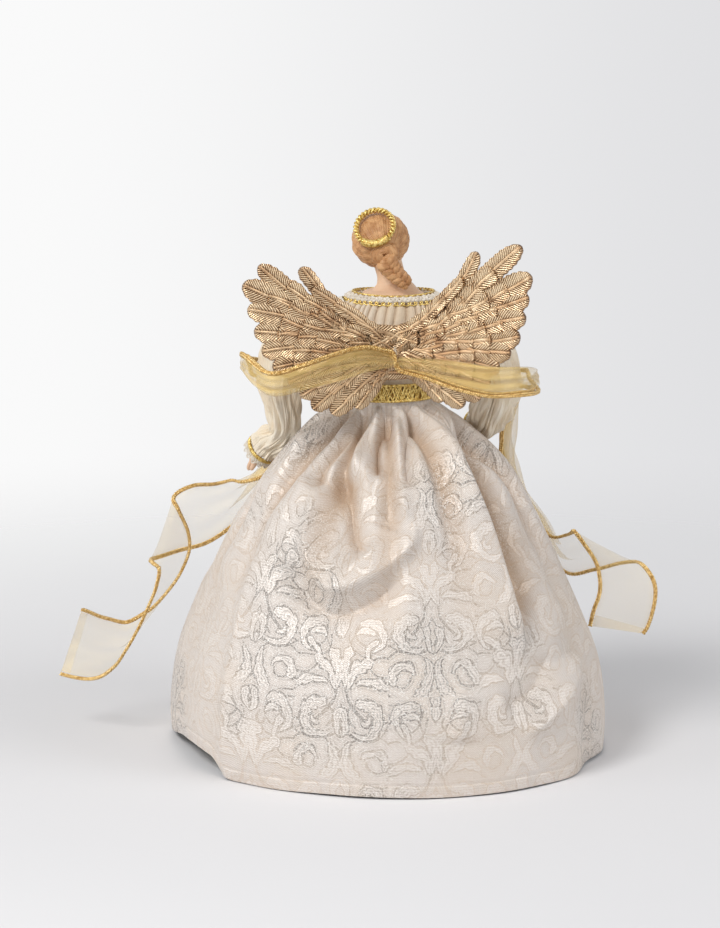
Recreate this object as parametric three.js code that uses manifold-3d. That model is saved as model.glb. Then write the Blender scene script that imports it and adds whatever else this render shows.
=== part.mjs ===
// Angel tree topper: a gathered brocade skirt over a moulded cone, a pleated bodice with flared
// sleeves, a cast head and hands, one moulding of gilt wings and a wired organza ribbon.
// Millimetres, +Z up. The angel faces -Y and its left side is +X. The origin is the middle of the
// cone's mouth, on the plane that the topper stands on.
import * as THREE from 'three';
import { mergeVertices } from 'three/addons/utils/BufferGeometryUtils.js';
import Module from 'manifold-3d';

const wasm = await Module();
wasm.setup();

// Gap left between pieces that touch
const clearance = 0.3;

// Support cone
const coneBaseRadius = 90;
const coneTopRadius = 17.5;
const coneHeight = 170;
const coneWall = 1.4;
const coneRimWidth = 5;
const coneRimThickness = 1.6;

// Foam torso
const torsoHeight = 57.5;
const waistHalfWidth = 20;
const waistHalfDepth = 17;
const chestHalfWidth = 25.5;
const chestHalfDepth = 19.5;
const shoulderHalfWidth = 27;
const shoulderHalfDepth = 17.5;
const neckBaseHalfWidth = 18;
const neckBaseHalfDepth = 12;
const plugDepth = 12;
const torsoLean = -3;

// Satin of the bodice and sleeves
const satinThickness = 0.9;
const bodicePleats = 12;
const bodicePleatDepth = 1.1;

// Collar
const gimpThickness = 1.1;
const gimpShare = 0.1;
const collarCordRadius = 0.7;

// Belt
const beltHeight = 8.4;
const beltThickness = 1.8;

// Skirt
const brocadeThickness = 1;
const hemRadius = 110;
const hemClearance = 0.8;
const hemLift = 8;
const hemFlattening = 1;
const hemSkew = 9;
const gatherCount = 14;
const gatherDepth = 2.4;

// Head
const headHalfWidth = 12.8;
const headHalfDepth = 13.6;
const headHalfHeight = 13.4;
const hairThickness = 1.2;
const neckRadius = 7.2;
const headRise = 27.5;
const headTilt = 10;
const plaitLobes = 6;
const headDetail = 0.08;

// Halo
const haloRadius = 9.4;
const haloCordRadius = 1.5;
const haloLean = 51;
const haloTilt = 20;
const bindingThickness = 0.5;
const bindingSpan = 80;

// Arms
const wireRadius = 1;
const sleeveRadius = 12.5;
const wristRadius = { left: 6.5, right: 9.5 };
const cuffRadius = 8;
const sleevePleats = 7;
const sleevePleatDepth = 0.9;
const armFlatness = 0.9;
const cuffCordRadius = 1.2;
const laceDepth = 4;
const laceThickness = 0.8;
const handLength = 19;
const forearmLength = 14;

// Wings
const wingSweep = 30;
const wingYaw = -5;
const wingRoll = 4.5;
const wingRise = 37.5;
const wingStandOff = 3.4;
const wingScale = 1;
const wingBackThickness = 1;
const wingDetail = 0.25;

// Ribbon
const ribbonWidth = 38;
const ribbonThickness = 0.7;
const ribbonCordRadius = 1.2;
const ribbonCordGap = 0.9;
const glueDotRadius = 3;

const vec = (x, y, z) => new THREE.Vector3(x, y, z);
const radians = THREE.MathUtils.degToRad;
const mix = THREE.MathUtils.lerp;
const ease = THREE.MathUtils.smoothstep;
const turn = 2 * Math.PI;

const satin = { color: 0xe6d8c2, roughness: 0.45, metalness: 0 };
const brocade = { color: 0xe3d9ce, roughness: 0.6, metalness: 0.1 };
const gilt = { color: 0xc4a45c, roughness: 0.4, metalness: 0.7 };
const giltResin = { color: 0xbd9f78, roughness: 0.42, metalness: 0.5 };
const white = { color: 0xece6da, roughness: 0.7, metalness: 0 };
const organza = { color: 0xe8e2d2, roughness: 0.4, metalness: 0.1 };
const casting = { color: 0xa87a55, roughness: 0.55, metalness: 0 };
const skin = { color: 0xdcb896, roughness: 0.5, metalness: 0 };
const board = { color: 0xdcd6ca, roughness: 0.6, metalness: 0 };
const foam = { color: 0xe9e6df, roughness: 0.9, metalness: 0 };
const wire = { color: 0x9a9a98, roughness: 0.35, metalness: 0.9 };
const adhesive = { color: 0xdedad0, roughness: 0.15, metalness: 0 };

const topper = new THREE.Group();

function piece(name, geometry, look, parent = topper) {
  const mesh = new THREE.Mesh(geometry, new THREE.MeshStandardMaterial(look));
  mesh.name = name;
  parent.add(mesh);
  return mesh;
}

// A closed body from points and triangles, turned so that its faces point out
function body(points, triangles) {
  const cross = vec(0, 0, 0);
  let volume = 0;
  for (const [a, b, c] of triangles) {
    volume += points[a].dot(cross.crossVectors(points[b], points[c]));
  }
  const geometry = new THREE.BufferGeometry().setFromPoints(points);
  geometry.setIndex(triangles.flatMap(([a, b, c]) => (volume < 0 ? [a, c, b] : [a, b, c])));
  return geometry;
}

// Rings of points joined one to the next, with a fan over each end
function loft(rings) {
  const sides = rings[0].length;
  const points = rings.flat();
  const triangles = [];
  for (let j = 0; j + 1 < rings.length; j += 1) {
    for (let i = 0; i < sides; i += 1) {
      const a = j * sides + i;
      const b = j * sides + ((i + 1) % sides);
      triangles.push([a, b, b + sides], [a, b + sides, a + sides]);
    }
  }
  const last = (rings.length - 1) * sides;
  const middle = (ring) => ring.reduce((sum, p) => sum.add(p), vec(0, 0, 0)).divideScalar(sides);
  const foot = points.push(middle(rings[0])) - 1;
  const head = points.push(middle(rings.at(-1))) - 1;
  for (let i = 0; i < sides; i += 1) {
    const next = (i + 1) % sides;
    triangles.push([foot, next, i], [head, last + i, last + next]);
  }
  return body(points, triangles);
}

function ellipse(halfWidth, halfDepth, z, sides, x = 0, y = 0) {
  return Array.from({ length: sides }, (_, i) => {
    const angle = (turn * i) / sides;
    return vec(x + halfWidth * Math.cos(angle), y + halfDepth * Math.sin(angle), z);
  });
}

function normalAt(at, u, v, wraps) {
  const step = 0.004;
  const clip = (value) => Math.min(Math.max(value, 0), 1);
  const left = wraps ? u - step : clip(u - step);
  const right = wraps ? u + step : clip(u + step);
  const across = at(right, v).sub(at(left, v));
  const along = at(u, clip(v + step)).sub(at(u, clip(v - step)));
  return across.cross(along).normalize();
}

// A cloth or band of even thickness round the surface at(u, v); wraps closes it in u
function shell(at, thickness, columns, rows, wraps) {
  const width = wraps ? columns : columns + 1;
  const points = [];
  for (const side of [0.5, -0.5]) {
    for (let j = 0; j <= rows; j += 1) {
      for (let i = 0; i < width; i += 1) {
        const u = i / columns;
        const v = j / rows;
        points.push(at(u, v).addScaledVector(normalAt(at, u, v, wraps), side * thickness));
      }
    }
  }
  const layer = width * (rows + 1);
  const triangles = [];
  const quad = (a, b, c, d) => triangles.push([a, b, c], [a, c, d]);
  for (let j = 0; j < rows; j += 1) {
    for (let i = 0; i < columns; i += 1) {
      const a = j * width + i;
      const b = j * width + ((i + 1) % width);
      quad(a, b, b + width, a + width);
      quad(layer + a, layer + a + width, layer + b + width, layer + b);
    }
  }
  for (let i = 0; i < columns; i += 1) {
    const next = (i + 1) % width;
    const far = rows * width;
    quad(layer + i, layer + next, next, i);
    quad(far + i, far + next, layer + far + next, layer + far + i);
  }
  for (let j = 0; j < rows && !wraps; j += 1) {
    const a = j * width;
    const b = a + columns;
    quad(a, a + width, layer + a + width, layer + a);
    quad(b + width, b, layer + b, layer + b + width);
  }
  return body(points, triangles);
}

// A round cord through points: a closed loop, or an open length with flat ends
function cord(points, radius, sides, closed) {
  const count = points.length;
  const rings = [];
  let up = vec(0.1, 0.2, 1);
  for (let i = 0; i < count; i += 1) {
    const before = points[closed ? (i + count - 1) % count : Math.max(i - 1, 0)];
    const after = points[closed ? (i + 1) % count : Math.min(i + 1, count - 1)];
    const along = after.clone().sub(before).normalize();
    up = up.clone().addScaledVector(along, -up.dot(along)).normalize();
    const side = along.clone().cross(up);
    rings.push(
      Array.from({ length: sides }, (_, k) => {
        const angle = (turn * k) / sides;
        const spoke = up.clone().multiplyScalar(Math.cos(angle)).addScaledVector(side, Math.sin(angle));
        return points[i].clone().addScaledVector(spoke, radius);
      }),
    );
  }
  if (!closed) {
    return loft(rings);
  }
  const triangles = [];
  for (let j = 0; j < count; j += 1) {
    for (let i = 0; i < sides; i += 1) {
      const near = j * sides;
      const far = ((j + 1) % count) * sides;
      const next = (i + 1) % sides;
      triangles.push([near + i, near + next, far + next], [near + i, far + next, far + i]);
    }
  }
  return body(rings.flat(), triangles);
}

function solid(geometry) {
  const plain = geometry.clone();
  plain.deleteAttribute('normal');
  plain.deleteAttribute('uv');
  const merged = mergeVertices(plain, 1e-4);
  const vertProperties = new Float32Array(merged.attributes.position.array);
  const triVerts = new Uint32Array(merged.index.array);
  return new wasm.Manifold(new wasm.Mesh({ numProp: 3, vertProperties, triVerts }));
}

function surface(manifold) {
  const { vertProperties, triVerts } = manifold.getMesh();
  const geometry = new THREE.BufferGeometry();
  geometry.setAttribute('position', new THREE.BufferAttribute(new Float32Array(vertProperties), 3));
  geometry.setIndex([...triVerts]);
  return geometry;
}

const join = (geometries) => geometries.map(solid).reduce((sum, next) => sum.add(next));

function cut(geometry, ...tools) {
  return tools.map(solid).reduce((rest, tool) => rest.subtract(tool), solid(geometry));
}

function ellipsoid(halves, centre, columns = 10, rows = 7) {
  const ball = new THREE.SphereGeometry(1, columns, rows);
  return ball.scale(...halves).translate(...centre);
}

// Support cone: a thin wall with a flat rim turned in at its foot
const coneSlope = (coneBaseRadius - coneTopRadius) / coneHeight;
const coneWallAcross = coneWall * Math.hypot(1, coneSlope);
const coneInner = (z) => coneBaseRadius - coneWallAcross - coneSlope * z;
const coneProfile = [
  new THREE.Vector2(coneBaseRadius, 0),
  new THREE.Vector2(coneTopRadius, coneHeight),
  new THREE.Vector2(coneInner(coneHeight), coneHeight),
  new THREE.Vector2(coneInner(coneRimThickness), coneRimThickness),
  new THREE.Vector2(coneBaseRadius - coneRimWidth, coneRimThickness),
  new THREE.Vector2(coneBaseRadius - coneRimWidth, 0),
  new THREE.Vector2(coneBaseRadius, 0),
];
const coneLathe = new THREE.LatheGeometry(coneProfile, 40).rotateX(Math.PI / 2);
piece('support_cone', surface(solid(coneLathe)), board);

// Torso: elliptical sections from the waist to the neck, plugged into the cone's top
const torsoFoot = coneHeight + clearance;
const torsoTop = coneHeight + torsoHeight;
const torsoLevel = (share) => coneHeight + share * torsoHeight;
const waist = vec(waistHalfWidth, waistHalfDepth, torsoLevel(0.3));
const chest = vec(chestHalfWidth, chestHalfDepth, torsoLevel(0.62));
const shoulders = vec(shoulderHalfWidth, shoulderHalfDepth, torsoLevel(0.81));
const neckBase = vec(neckBaseHalfWidth, neckBaseHalfDepth, torsoTop);
const torsoCurve = new THREE.CatmullRomCurve3([
  vec(waist.x, waist.y, torsoFoot),
  waist,
  waist.clone().lerp(chest, 0.45).setZ(torsoLevel(0.45)),
  chest,
  shoulders,
  vec(mix(shoulders.x, neckBase.x, 0.3), mix(shoulders.y, neckBase.y, 0.45), torsoLevel(0.93)),
  neckBase,
]);

function torsoAt(u, v) {
  const section = torsoCurve.getPoint(Math.min(Math.max(v, 0), 1));
  const lean = torsoLean * ease(v, 0.35, 1);
  return vec(section.x * Math.cos(turn * u) + lean, section.y * Math.sin(turn * u), section.z);
}

function offTorso(u, v, distance) {
  return torsoAt(u, v).addScaledVector(normalAt(torsoAt, u, v, true), distance);
}

// Arms: points from the shoulder, for the wire, the sleeve and the hand
const shoulderZ = coneHeight + 0.78 * torsoHeight;
const armOffsets = {
  left: [[0, 0, 0], [17, 1, -13], [22.5, 0, -31], [21.5, -5, -55], [31.5, -15, -66.5]],
  right: [[0, 0, 0], [-17, 1, -13], [-24, -1, -30], [-21, -11, -49], [-18, -36, -58]],
};

function makeArm(side, name) {
  const shoulder = vec(side * (shoulderHalfWidth + 3), 1, shoulderZ);
  const points = armOffsets[name].map((offset) => shoulder.clone().add(vec(...offset)));
  const curve = new THREE.CatmullRomCurve3(points);
  const frame = (t) => {
    const along = curve.getTangent(Math.min(t, 1));
    const back = vec(0, 1, 0).addScaledVector(along, -along.y).normalize();
    const out = along.clone().cross(back).multiplyScalar(side);
    return { centre: curve.getPoint(Math.min(t, 1)), along, back, out };
  };
  return { side, points, frame, cuff: frame(1), wrist: wristRadius[name] };
}

const arms = { left: makeArm(1, 'left'), right: makeArm(-1, 'right') };
const wireEnd = (arm) => arm.cuff.centre.clone().addScaledVector(arm.cuff.along, -4);
const wirePoints = [
  wireEnd(arms.right),
  ...arms.right.points.slice(0, -1).reverse(),
  vec(0, 1, shoulderZ),
  ...arms.left.points.slice(0, -1),
  wireEnd(arms.left),
];
const wireCurve = new THREE.CatmullRomCurve3(wirePoints);

function rod(radius) {
  const circle = new THREE.Shape().absarc(0, 0, radius, 0, turn);
  const path = { extrudePath: wireCurve, steps: 24, curveSegments: 4, bevelEnabled: false };
  return new THREE.ExtrudeGeometry(circle, path);
}

const wireBore = rod(wireRadius + clearance);
const plugRadius = coneInner(coneHeight) - clearance;
const torsoSides = 24;
const torsoRows = 6;
const torsoRings = [
  ellipse(plugRadius, plugRadius, coneHeight - plugDepth, torsoSides),
  ellipse(plugRadius, plugRadius, torsoFoot, torsoSides),
];
for (let j = 0; j <= torsoRows; j += 1) {
  torsoRings.push(Array.from({ length: torsoSides }, (_, i) => torsoAt(i / torsoSides, j / torsoRows)));
}
piece('torso_core', surface(cut(loft(torsoRings), wireBore)), foam);
piece('arm_wire', surface(solid(rod(wireRadius))), wire);

// Bodice: satin in upright pleats that flatten at the waist and under the collar
const bodiceGap = clearance + satinThickness / 2;
const pleatFade = (v) => ease(v, 0.2, 0.36) * (1 - ease(v, 0.78, 0.9));

function bodiceAt(u, v) {
  const level = mix(0.02, 1, v);
  const pleat = 0.5 + 0.5 * Math.cos(turn * bodicePleats * u);
  return offTorso(u, level, bodiceGap + bodicePleatDepth * pleat * pleatFade(level));
}

piece('bodice', surface(cut(shell(bodiceAt, satinThickness, 48, 6, true), wireBore)), satin);
const bodiceFace = clearance + satinThickness;

// Collar: a gimp band on the neckline with a looped gilt cord along each edge
const gimpGap = bodiceFace + clearance + gimpThickness / 2;
const gimpAt = (u, v) => offTorso(u, mix(1 - gimpShare, 1, v), gimpGap);
piece('collar_lace', shell(gimpAt, gimpThickness, 36, 2, true), white);

function edgeLoop(at, count, v, reach) {
  return Array.from({ length: count }, (_, i) => {
    const u = i / count;
    const inside = at(u, v > 0.5 ? v - 0.02 : v + 0.02);
    const edge = at(u, v);
    return edge.clone().addScaledVector(edge.clone().sub(inside).normalize(), reach);
  });
}

const collarReach = clearance + collarCordRadius;
const gimpLift = (u, v) => offTorso(u, mix(1 - gimpShare, 1, v), gimpGap + clearance);
piece('collar_cord_upper', cord(edgeLoop(gimpAt, 32, 1, collarReach), collarCordRadius, 5, true), gilt);
piece('collar_cord_lower', cord(edgeLoop(gimpLift, 32, 0, collarReach), collarCordRadius, 5, true), gilt);

// Skirt: a bell from the waist to the hem, gathered at the top, with its main folds
const skirtTop = coneHeight + 15;
const flareTop = skirtTop - beltHeight - 1.5;
const skirtWaist = waistHalfWidth + bodiceFace + clearance + brocadeThickness / 2;
const waistFlattening = waistHalfWidth - waistHalfDepth;
const bell = [
  [0.04, 0.98],
  [0.17, 0.935],
  [0.43, 0.815],
  [0.585, 0.675],
  [0.725, 0.535],
  [0.85, 0.397],
  [0.955, 0.256],
  [0.997, 0.115],
  [1, 0.03],
  [0.995, 0],
];
const skirtCurve = new THREE.CatmullRomCurve3([
  vec(skirtWaist, 0, skirtTop),
  vec(skirtWaist, 0, mix(skirtTop, flareTop, 0.5)),
  vec(skirtWaist, 0, flareTop),
  ...bell.map(([out, up]) => vec(mix(skirtWaist, hemRadius, out), 0, mix(hemClearance, flareTop, up))),
]);

// Folds: angle from the back towards -X, half width and depth, and the shares of the way down
// from the waist where each one starts and ends
const folds = [
  { angle: 32, width: 6, depth: 4, from: 0.12, to: 0.75 },
  { angle: 42, width: 7, depth: -6, from: 0.12, to: 0.8 },
  { angle: -15, width: 9, depth: -8, from: 0.25, to: 0.58 },
  { angle: 2, width: 8, depth: 2, from: 0.15, to: 0.7 },
  { angle: -41, width: 6, depth: -6, from: 0.6, to: 1.3 },
  { angle: -30, width: 7, depth: 3, from: 0.5, to: 1.2 },
  { angle: 70, width: 9, depth: -4, from: 0.3, to: 1.3 },
  { angle: -75, width: 10, depth: -4, from: 0.5, to: 1.3 },
  { angle: 112, width: 8, depth: -5, from: 0.2, to: 1.3 },
  { angle: 140, width: 8, depth: 4, from: 0.2, to: 1.2 },
  { angle: 163, width: 8, depth: -6, from: 0.2, to: 1.3 },
  { angle: -160, width: 9, depth: 4, from: 0.2, to: 1.2 },
  { angle: -138, width: 8, depth: -6, from: 0.2, to: 1.3 },
  { angle: -108, width: 8, depth: 3, from: 0.5, to: 1.2 },
  { angle: -104, width: 16, depth: -9, from: 0.1, to: 0.27 },
  { angle: 115, width: 14, depth: -5, from: 0.08, to: 0.25 },
];

function foldPush(angle, down) {
  return folds.reduce((sum, fold) => {
    const away = THREE.MathUtils.euclideanModulo(angle - fold.angle + 180, 360) - 180;
    const bump = Math.exp(-((away / fold.width) ** 2));
    const start = ease(down, fold.from - 0.08, fold.from + 0.08);
    const stop = 1 - ease(down, fold.to - 0.08, fold.to + 0.08);
    return sum + fold.depth * bump * start * stop;
  }, 0);
}

function skirtAt(u, v) {
  const profile = skirtCurve.getPoint(Math.min(Math.max(v, 0), 1));
  const down = 1 - profile.z / flareTop;
  const angle = THREE.MathUtils.euclideanModulo(360 * u - 90 + 180, 360) - 180;
  const gathered = ease(down, 0.02, 0.14) * (1 - 0.8 * ease(down, 0.15, 0.6));
  const gather = gatherDepth * Math.cos(turn * gatherCount * u) * gathered;
  const radius = profile.x + gather + foldPush(angle, down);
  const flattening = waistFlattening * (1 - ease(down, 0, 0.3)) + hemFlattening * ease(down, 0.3, 1);
  const lift = hemLift * Math.exp(-(((angle + 62) / 26) ** 2)) * ease(down, 0.5, 1);
  const skew = hemSkew * ease(down, 0.3, 1) * Math.cos(turn * u);
  const depth = (radius - flattening) * Math.sin(turn * u) - skew;
  return vec(radius * Math.cos(turn * u), depth, profile.z + lift);
}

piece('skirt', shell(skirtAt, brocadeThickness, 56, 10, true), brocade);

// Belt: a flat gilt braid round the skirt's gathered top
const beltHalfWidth = skirtWaist + brocadeThickness / 2 + clearance + beltThickness / 2;
const beltAt = (u, v) => {
  const depth = (beltHalfWidth - waistFlattening) * Math.sin(turn * u);
  return vec(beltHalfWidth * Math.cos(turn * u), depth, skirtTop + 1 - beltHeight * v);
};
piece('waist_belt', shell(beltAt, beltThickness, 36, 1, true), gilt);

// Sleeves: the first row lies round the armhole on the bodice, the rest are rings down the arm
const armholeLevel = 0.74;
const armholeSpan = 0.13;
const armholeAngle = 42;
const armholeGap = bodiceFace + bodicePleatDepth + clearance + satinThickness / 2;

function sleeveSize(arm, v) {
  const sizes = [sleeveRadius, sleeveRadius, mix(sleeveRadius, arm.wrist, 0.3), arm.wrist, cuffRadius];
  const curve = new THREE.SplineCurve(sizes.map((size, i) => new THREE.Vector2(i, size)));
  return curve.getPoint(Math.min(Math.max(v, 0), 1)).y;
}

function sleeveAt(arm, u, v) {
  const angle = turn * u;
  const { centre, out, back } = arm.frame(v);
  const pleatShare = ease(v, 0.05, 0.25) * (1 - ease(v, 0.8, 0.97));
  const pleat = sleevePleatDepth * Math.cos(sleevePleats * angle) * pleatShare;
  const radius = sleeveSize(arm, v) + pleat;
  const ring = centre.clone().addScaledVector(out, radius * Math.cos(angle));
  ring.addScaledVector(back, armFlatness * radius * Math.sin(angle));
  const turned = (armholeAngle / 360) * Math.sin(angle);
  const level = armholeLevel + armholeSpan * Math.cos(angle);
  const hole = offTorso(arm.side > 0 ? turned : 0.5 - turned, level, armholeGap);
  return hole.lerp(ring, ease(v, -0.02, 0.24));
}

function cuffRing(arm, reach, radius) {
  const { centre, along, out, back } = arm.cuff;
  return (u) => {
    const angle = turn * u;
    const spoke = out.clone().multiplyScalar(radius * Math.cos(angle));
    spoke.addScaledVector(back, armFlatness * radius * Math.sin(angle));
    return centre.clone().add(spoke).addScaledVector(along, reach);
  };
}

function makeHand(arm) {
  const { centre, along, out, back } = arm.cuff;
  const grip = new THREE.Matrix4().makeBasis(back, out, back.clone().cross(out)).setPosition(centre);
  const toTip = back.clone().cross(out).dot(along);
  const ring = (reach, halfWidth, halfDepth) => ellipse(halfWidth, halfDepth, reach * toTip, 12);
  const palmEnd = 0.52 * handLength;
  const palm = loft([
    ring(-forearmLength, 4.6, 4.6),
    ring(-2, 3.8, 3.4),
    ring(3, 3.6, 2.9),
    ring(0.3 * handLength, 4.9, 2.7),
    ring(palmEnd, 4.7, 2.2),
  ]);
  const parts = [palm];
  for (const finger of [-1.5, -0.5, 0.5, 1.5]) {
    const reach = handLength * (1 - 0.05 * Math.abs(finger)) - 1.2;
    const middle = 0.5 * (palmEnd - 1.5 + reach);
    const stick = new THREE.CapsuleGeometry(1.15, reach - palmEnd + 1.5, 2, 7).rotateX(Math.PI / 2);
    stick.rotateY(0.06 * finger * toTip).translate(2.35 * finger, -0.4, middle * toTip);
    parts.push(stick);
  }
  const thumb = new THREE.CapsuleGeometry(1.25, 6.5, 2, 7).rotateX(Math.PI / 2).rotateY(0.55 * toTip);
  parts.push(thumb.translate(5.4, -1.4, 0.36 * handLength * toTip));
  const whole = join(parts.map((part) => part.applyMatrix4(grip)));
  return surface(whole.subtract(solid(wireBore)));
}

for (const [name, arm] of Object.entries(arms)) {
  const cordReach = clearance + cuffCordRadius;
  const laceStart = cordReach + cuffCordRadius + clearance;
  const scallop = (u) => laceDepth * (0.8 + 0.2 * Math.cos(8 * turn * u));
  const cuffCircle = cuffRing(arm, cordReach, cuffRadius);
  const laceAt = (u, v) => cuffRing(arm, laceStart + v * scallop(u), cuffRadius + 0.6 * v)(u);
  piece(`sleeve_${name}`, shell((u, v) => sleeveAt(arm, u, v), satinThickness, 28, 7, true), satin);
  const cuffLoop = Array.from({ length: 24 }, (_, i) => cuffCircle(i / 24));
  piece(`cuff_cord_${name}`, cord(cuffLoop, cuffCordRadius, 5, true), gilt);
  piece(`cuff_lace_${name}`, shell(laceAt, laceThickness, 32, 1, true), white);
  piece(`hand_${name}`, makeHand(arm), skin);
}

// Head: skull, face and hair as one surface, joined to the neck, the shoulder plate and the plait
const plateFoot = torsoTop + clearance;
const headCentre = vec(0, -2, headRise);
const tilted = new THREE.Matrix4()
  .makeTranslation(0, 0, torsoTop)
  .multiply(new THREE.Matrix4().makeRotationY(radians(headTilt)).setPosition(torsoLean + 1.5, 0, 0));

const near = (value, middle, width) => Math.exp(-(((value - middle) / width) ** 2));

// Height of the face and hair above the plain skull, from the angle off the face's middle and the level
function headRelief(side, level) {
  const facing = 1 - ease(Math.abs(side), 50, 72);
  const hairline = facing * (1 - ease(level, 0.42, 0.62));
  const nose = 2.6 * near(side, 0, 7) * near(level, -0.12, 0.16);
  const brow = 0.5 * near(level, 0.18, 0.1);
  const sockets = -1.3 * near(Math.abs(side), 20, 9) * near(level, 0.02, 0.12);
  const lips = 0.7 * near(side, 0, 12) * near(level, -0.46, 0.08);
  const chin = 1.2 * near(side, 0, 18) * near(level, -0.72, 0.16);
  const cheeks = 0.6 * near(Math.abs(side), 34, 14) * near(level, -0.22, 0.2);
  const face = nose + brow + sockets + lips + chin + cheeks;
  return mix(hairThickness, face, hairline);
}

function headGeometry() {
  const columns = 24;
  const rows = 15;
  const rings = [];
  for (let j = 1; j < rows; j += 1) {
    const polar = (Math.PI * j) / rows;
    const level = -Math.cos(polar);
    rings.push(
      Array.from({ length: columns }, (_, i) => {
        const angle = (360 * i) / columns;
        const side = THREE.MathUtils.euclideanModulo(angle + 90 + 180, 360) - 180;
        const jaw = 1 - 0.24 * ease(-level, 0.2, 1) * near(side, 0, 95);
        const swell = headRelief(side, level);
        const reach = Math.sin(polar);
        const x = (headHalfWidth * jaw + swell) * reach * Math.cos(radians(angle));
        const y = (headHalfDepth + swell) * reach * Math.sin(radians(angle));
        return vec(x, y, (headHalfHeight + (level > 0 ? hairThickness : 0)) * level).add(headCentre);
      }),
    );
  }
  return loft(rings);
}

const chignon = [ellipsoid([7.5, 5, 6], [-1, headCentre.y + headHalfDepth - 0.5, headRise - 5], 12, 8)];
for (let i = 0; i < plaitLobes; i += 1) {
  const share = i / (plaitLobes - 1);
  const sway = (i % 2 ? 1 : -1) * mix(2.2, 1.2, share);
  const size = mix(4.6, 2.9, share);
  const lobe = ellipsoid([size, 0.8 * size, 0.72 * size], [0, 0, 0], 8, 5);
  lobe.rotateY(radians(i % 2 ? 32 : -32));
  const fall = vec(-2, headHalfDepth - 2.5, headRise - 9).lerp(vec(-10, 12.5, 6.5), share);
  chignon.push(lobe.translate(fall.x + sway, fall.y, fall.z));
}
const neck = loft([
  ellipse(neckBaseHalfWidth - 2, neckBaseHalfDepth - 2, plateFoot - torsoTop, 20, torsoLean),
  ellipse(neckBaseHalfWidth - 2.6, neckBaseHalfDepth - 2.4, 1.6, 20, torsoLean),
  ellipse(0.62 * neckBaseHalfWidth, 0.72 * neckBaseHalfDepth, 4, 20, torsoLean),
  ellipse(neckRadius + 0.6, neckRadius, 7.5, 20, torsoLean + 0.5),
  ellipse(neckRadius - 0.4, neckRadius - 0.6, 12, 20, torsoLean + 1.5),
  ellipse(neckRadius, neckRadius, headRise - 7, 20, torsoLean + 4, -0.5),
]).translate(0, 0, torsoTop);
const headParts = [headGeometry(), ...chignon].map((geometry) => geometry.applyMatrix4(tilted));
piece('head', surface(join([neck, ...headParts]).simplify(headDetail)), casting);

// Halo: a cord ring that rests on the crown, whipped with thread over its joint
const crown = new THREE.Group();
crown.position.copy(headCentre.clone().applyMatrix4(tilted));
crown.rotation.set(radians(-haloLean), radians(haloTilt), 0, 'YXZ');
topper.add(crown);
const crownRadius = headHalfHeight + hairThickness;
const bindingFace = haloCordRadius + clearance + bindingThickness;
const haloSeat = Math.sqrt(Math.max((crownRadius + clearance + bindingFace) ** 2 - haloRadius ** 2, 1));
const ring = new THREE.TorusGeometry(haloRadius, haloCordRadius, 6, 30).translate(0, 0, haloSeat);
piece('halo_cord', surface(solid(ring)), gilt, crown);
const bindingReach = haloCordRadius + clearance + bindingThickness / 2;
const bindingAt = (u, v) => {
  const angle = radians(90 - 12 + bindingSpan * (v - 0.5));
  const out = haloRadius + bindingReach * Math.cos(turn * u);
  return vec(out * Math.cos(angle), out * Math.sin(angle), haloSeat + bindingReach * Math.sin(turn * u));
};
piece('halo_binding', shell(bindingAt, bindingThickness, 8, 7, true), gilt, crown);

// Wings: one moulding. Feathers overlap in rows in a flat plan, p out from the spine and q up,
// and the whole plan is then swept back on both sides of the spine.
const primaries = [
  { root: [33, 18], tip: [48, 43.5], width: 7.5, shift: [4, 2] },
  { root: [22, 5], tip: [70, 47], width: 10.5, shift: [7.5, 1.5] },
  { root: [16, 5], tip: [79, 39], width: 13, shift: [3, -5] },
  { root: [16, 3], tip: [77.5, 27], width: 12.5, shift: [2, -3] },
  { root: [16, 1], tip: [75, 16], width: 12.5, shift: [2, -1.5] },
  { root: [16, -1], tip: [72, 6], width: 12.5, shift: [1, -1] },
  { root: [14, -3], tip: [67, -3], width: 12.5 },
  { root: [12, -4], tip: [60, -11], width: 12 },
  { root: [10, -5], tip: [54, -18.5], width: 11 },
  { root: [8, -6], tip: [48, -26], width: 11 },
  { root: [6, -7], tip: [38, -30], width: 10.5 },
  { root: [4, -7], tip: [26, -29], width: 10 },
  { root: [2, -7], tip: [14, -24], width: 9 },
];
const coverts = [
  { root: [12, 4], tip: [46, 31], width: 8 },
  { root: [10, 6], tip: [51, 29], width: 10 },
  { root: [10, 5], tip: [54, 20.5], width: 10 },
  { root: [10, 3], tip: [53, 11.5], width: 10 },
  { root: [10, 1], tip: [49, 3], width: 10 },
  { root: [9, -1], tip: [44, -5], width: 10 },
  { root: [8, -2], tip: [38, -12], width: 9 },
  { root: [6, -3], tip: [30, -17], width: 8.5 },
  { root: [4, -4], tip: [20, -17], width: 8 },
];
const scapulars = [
  { root: [6, 1], tip: [32, 19.5], width: 7.5 },
  { root: [6, 1], tip: [35, 13.5], width: 8 },
  { root: [5, 4], tip: [34, 8.5], width: 8 },
  { root: [5, 2], tip: [31, 1.5], width: 8 },
  { root: [4, 0], tip: [26, -5], width: 8 },
  { root: [3, -2], tip: [18, -11], width: 8 },
];
const leadingEdge = [{ root: [4, 0], tip: [45, 32.5], width: 6 }];
const featherRows = [
  { feathers: primaries, edge: 0.7, rib: 1.3, shares: [[0, 0.5], [0.7, 1], [0.9, 0.8], [0.98, 0.4]] },
  { feathers: coverts, edge: 1.6, rib: 2.1, shares: [[0, 0.6], [0.72, 1], [0.94, 0.64]] },
  { feathers: scapulars, edge: 2.3, rib: 2.8, shares: [[0, 0.7], [0.7, 1], [0.93, 0.62]] },
  { feathers: leadingEdge, edge: 2.5, rib: 3, shares: [[0, 1], [0.4, 1], [0.8, 0.8], [0.98, 0.3]] },
];

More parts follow.
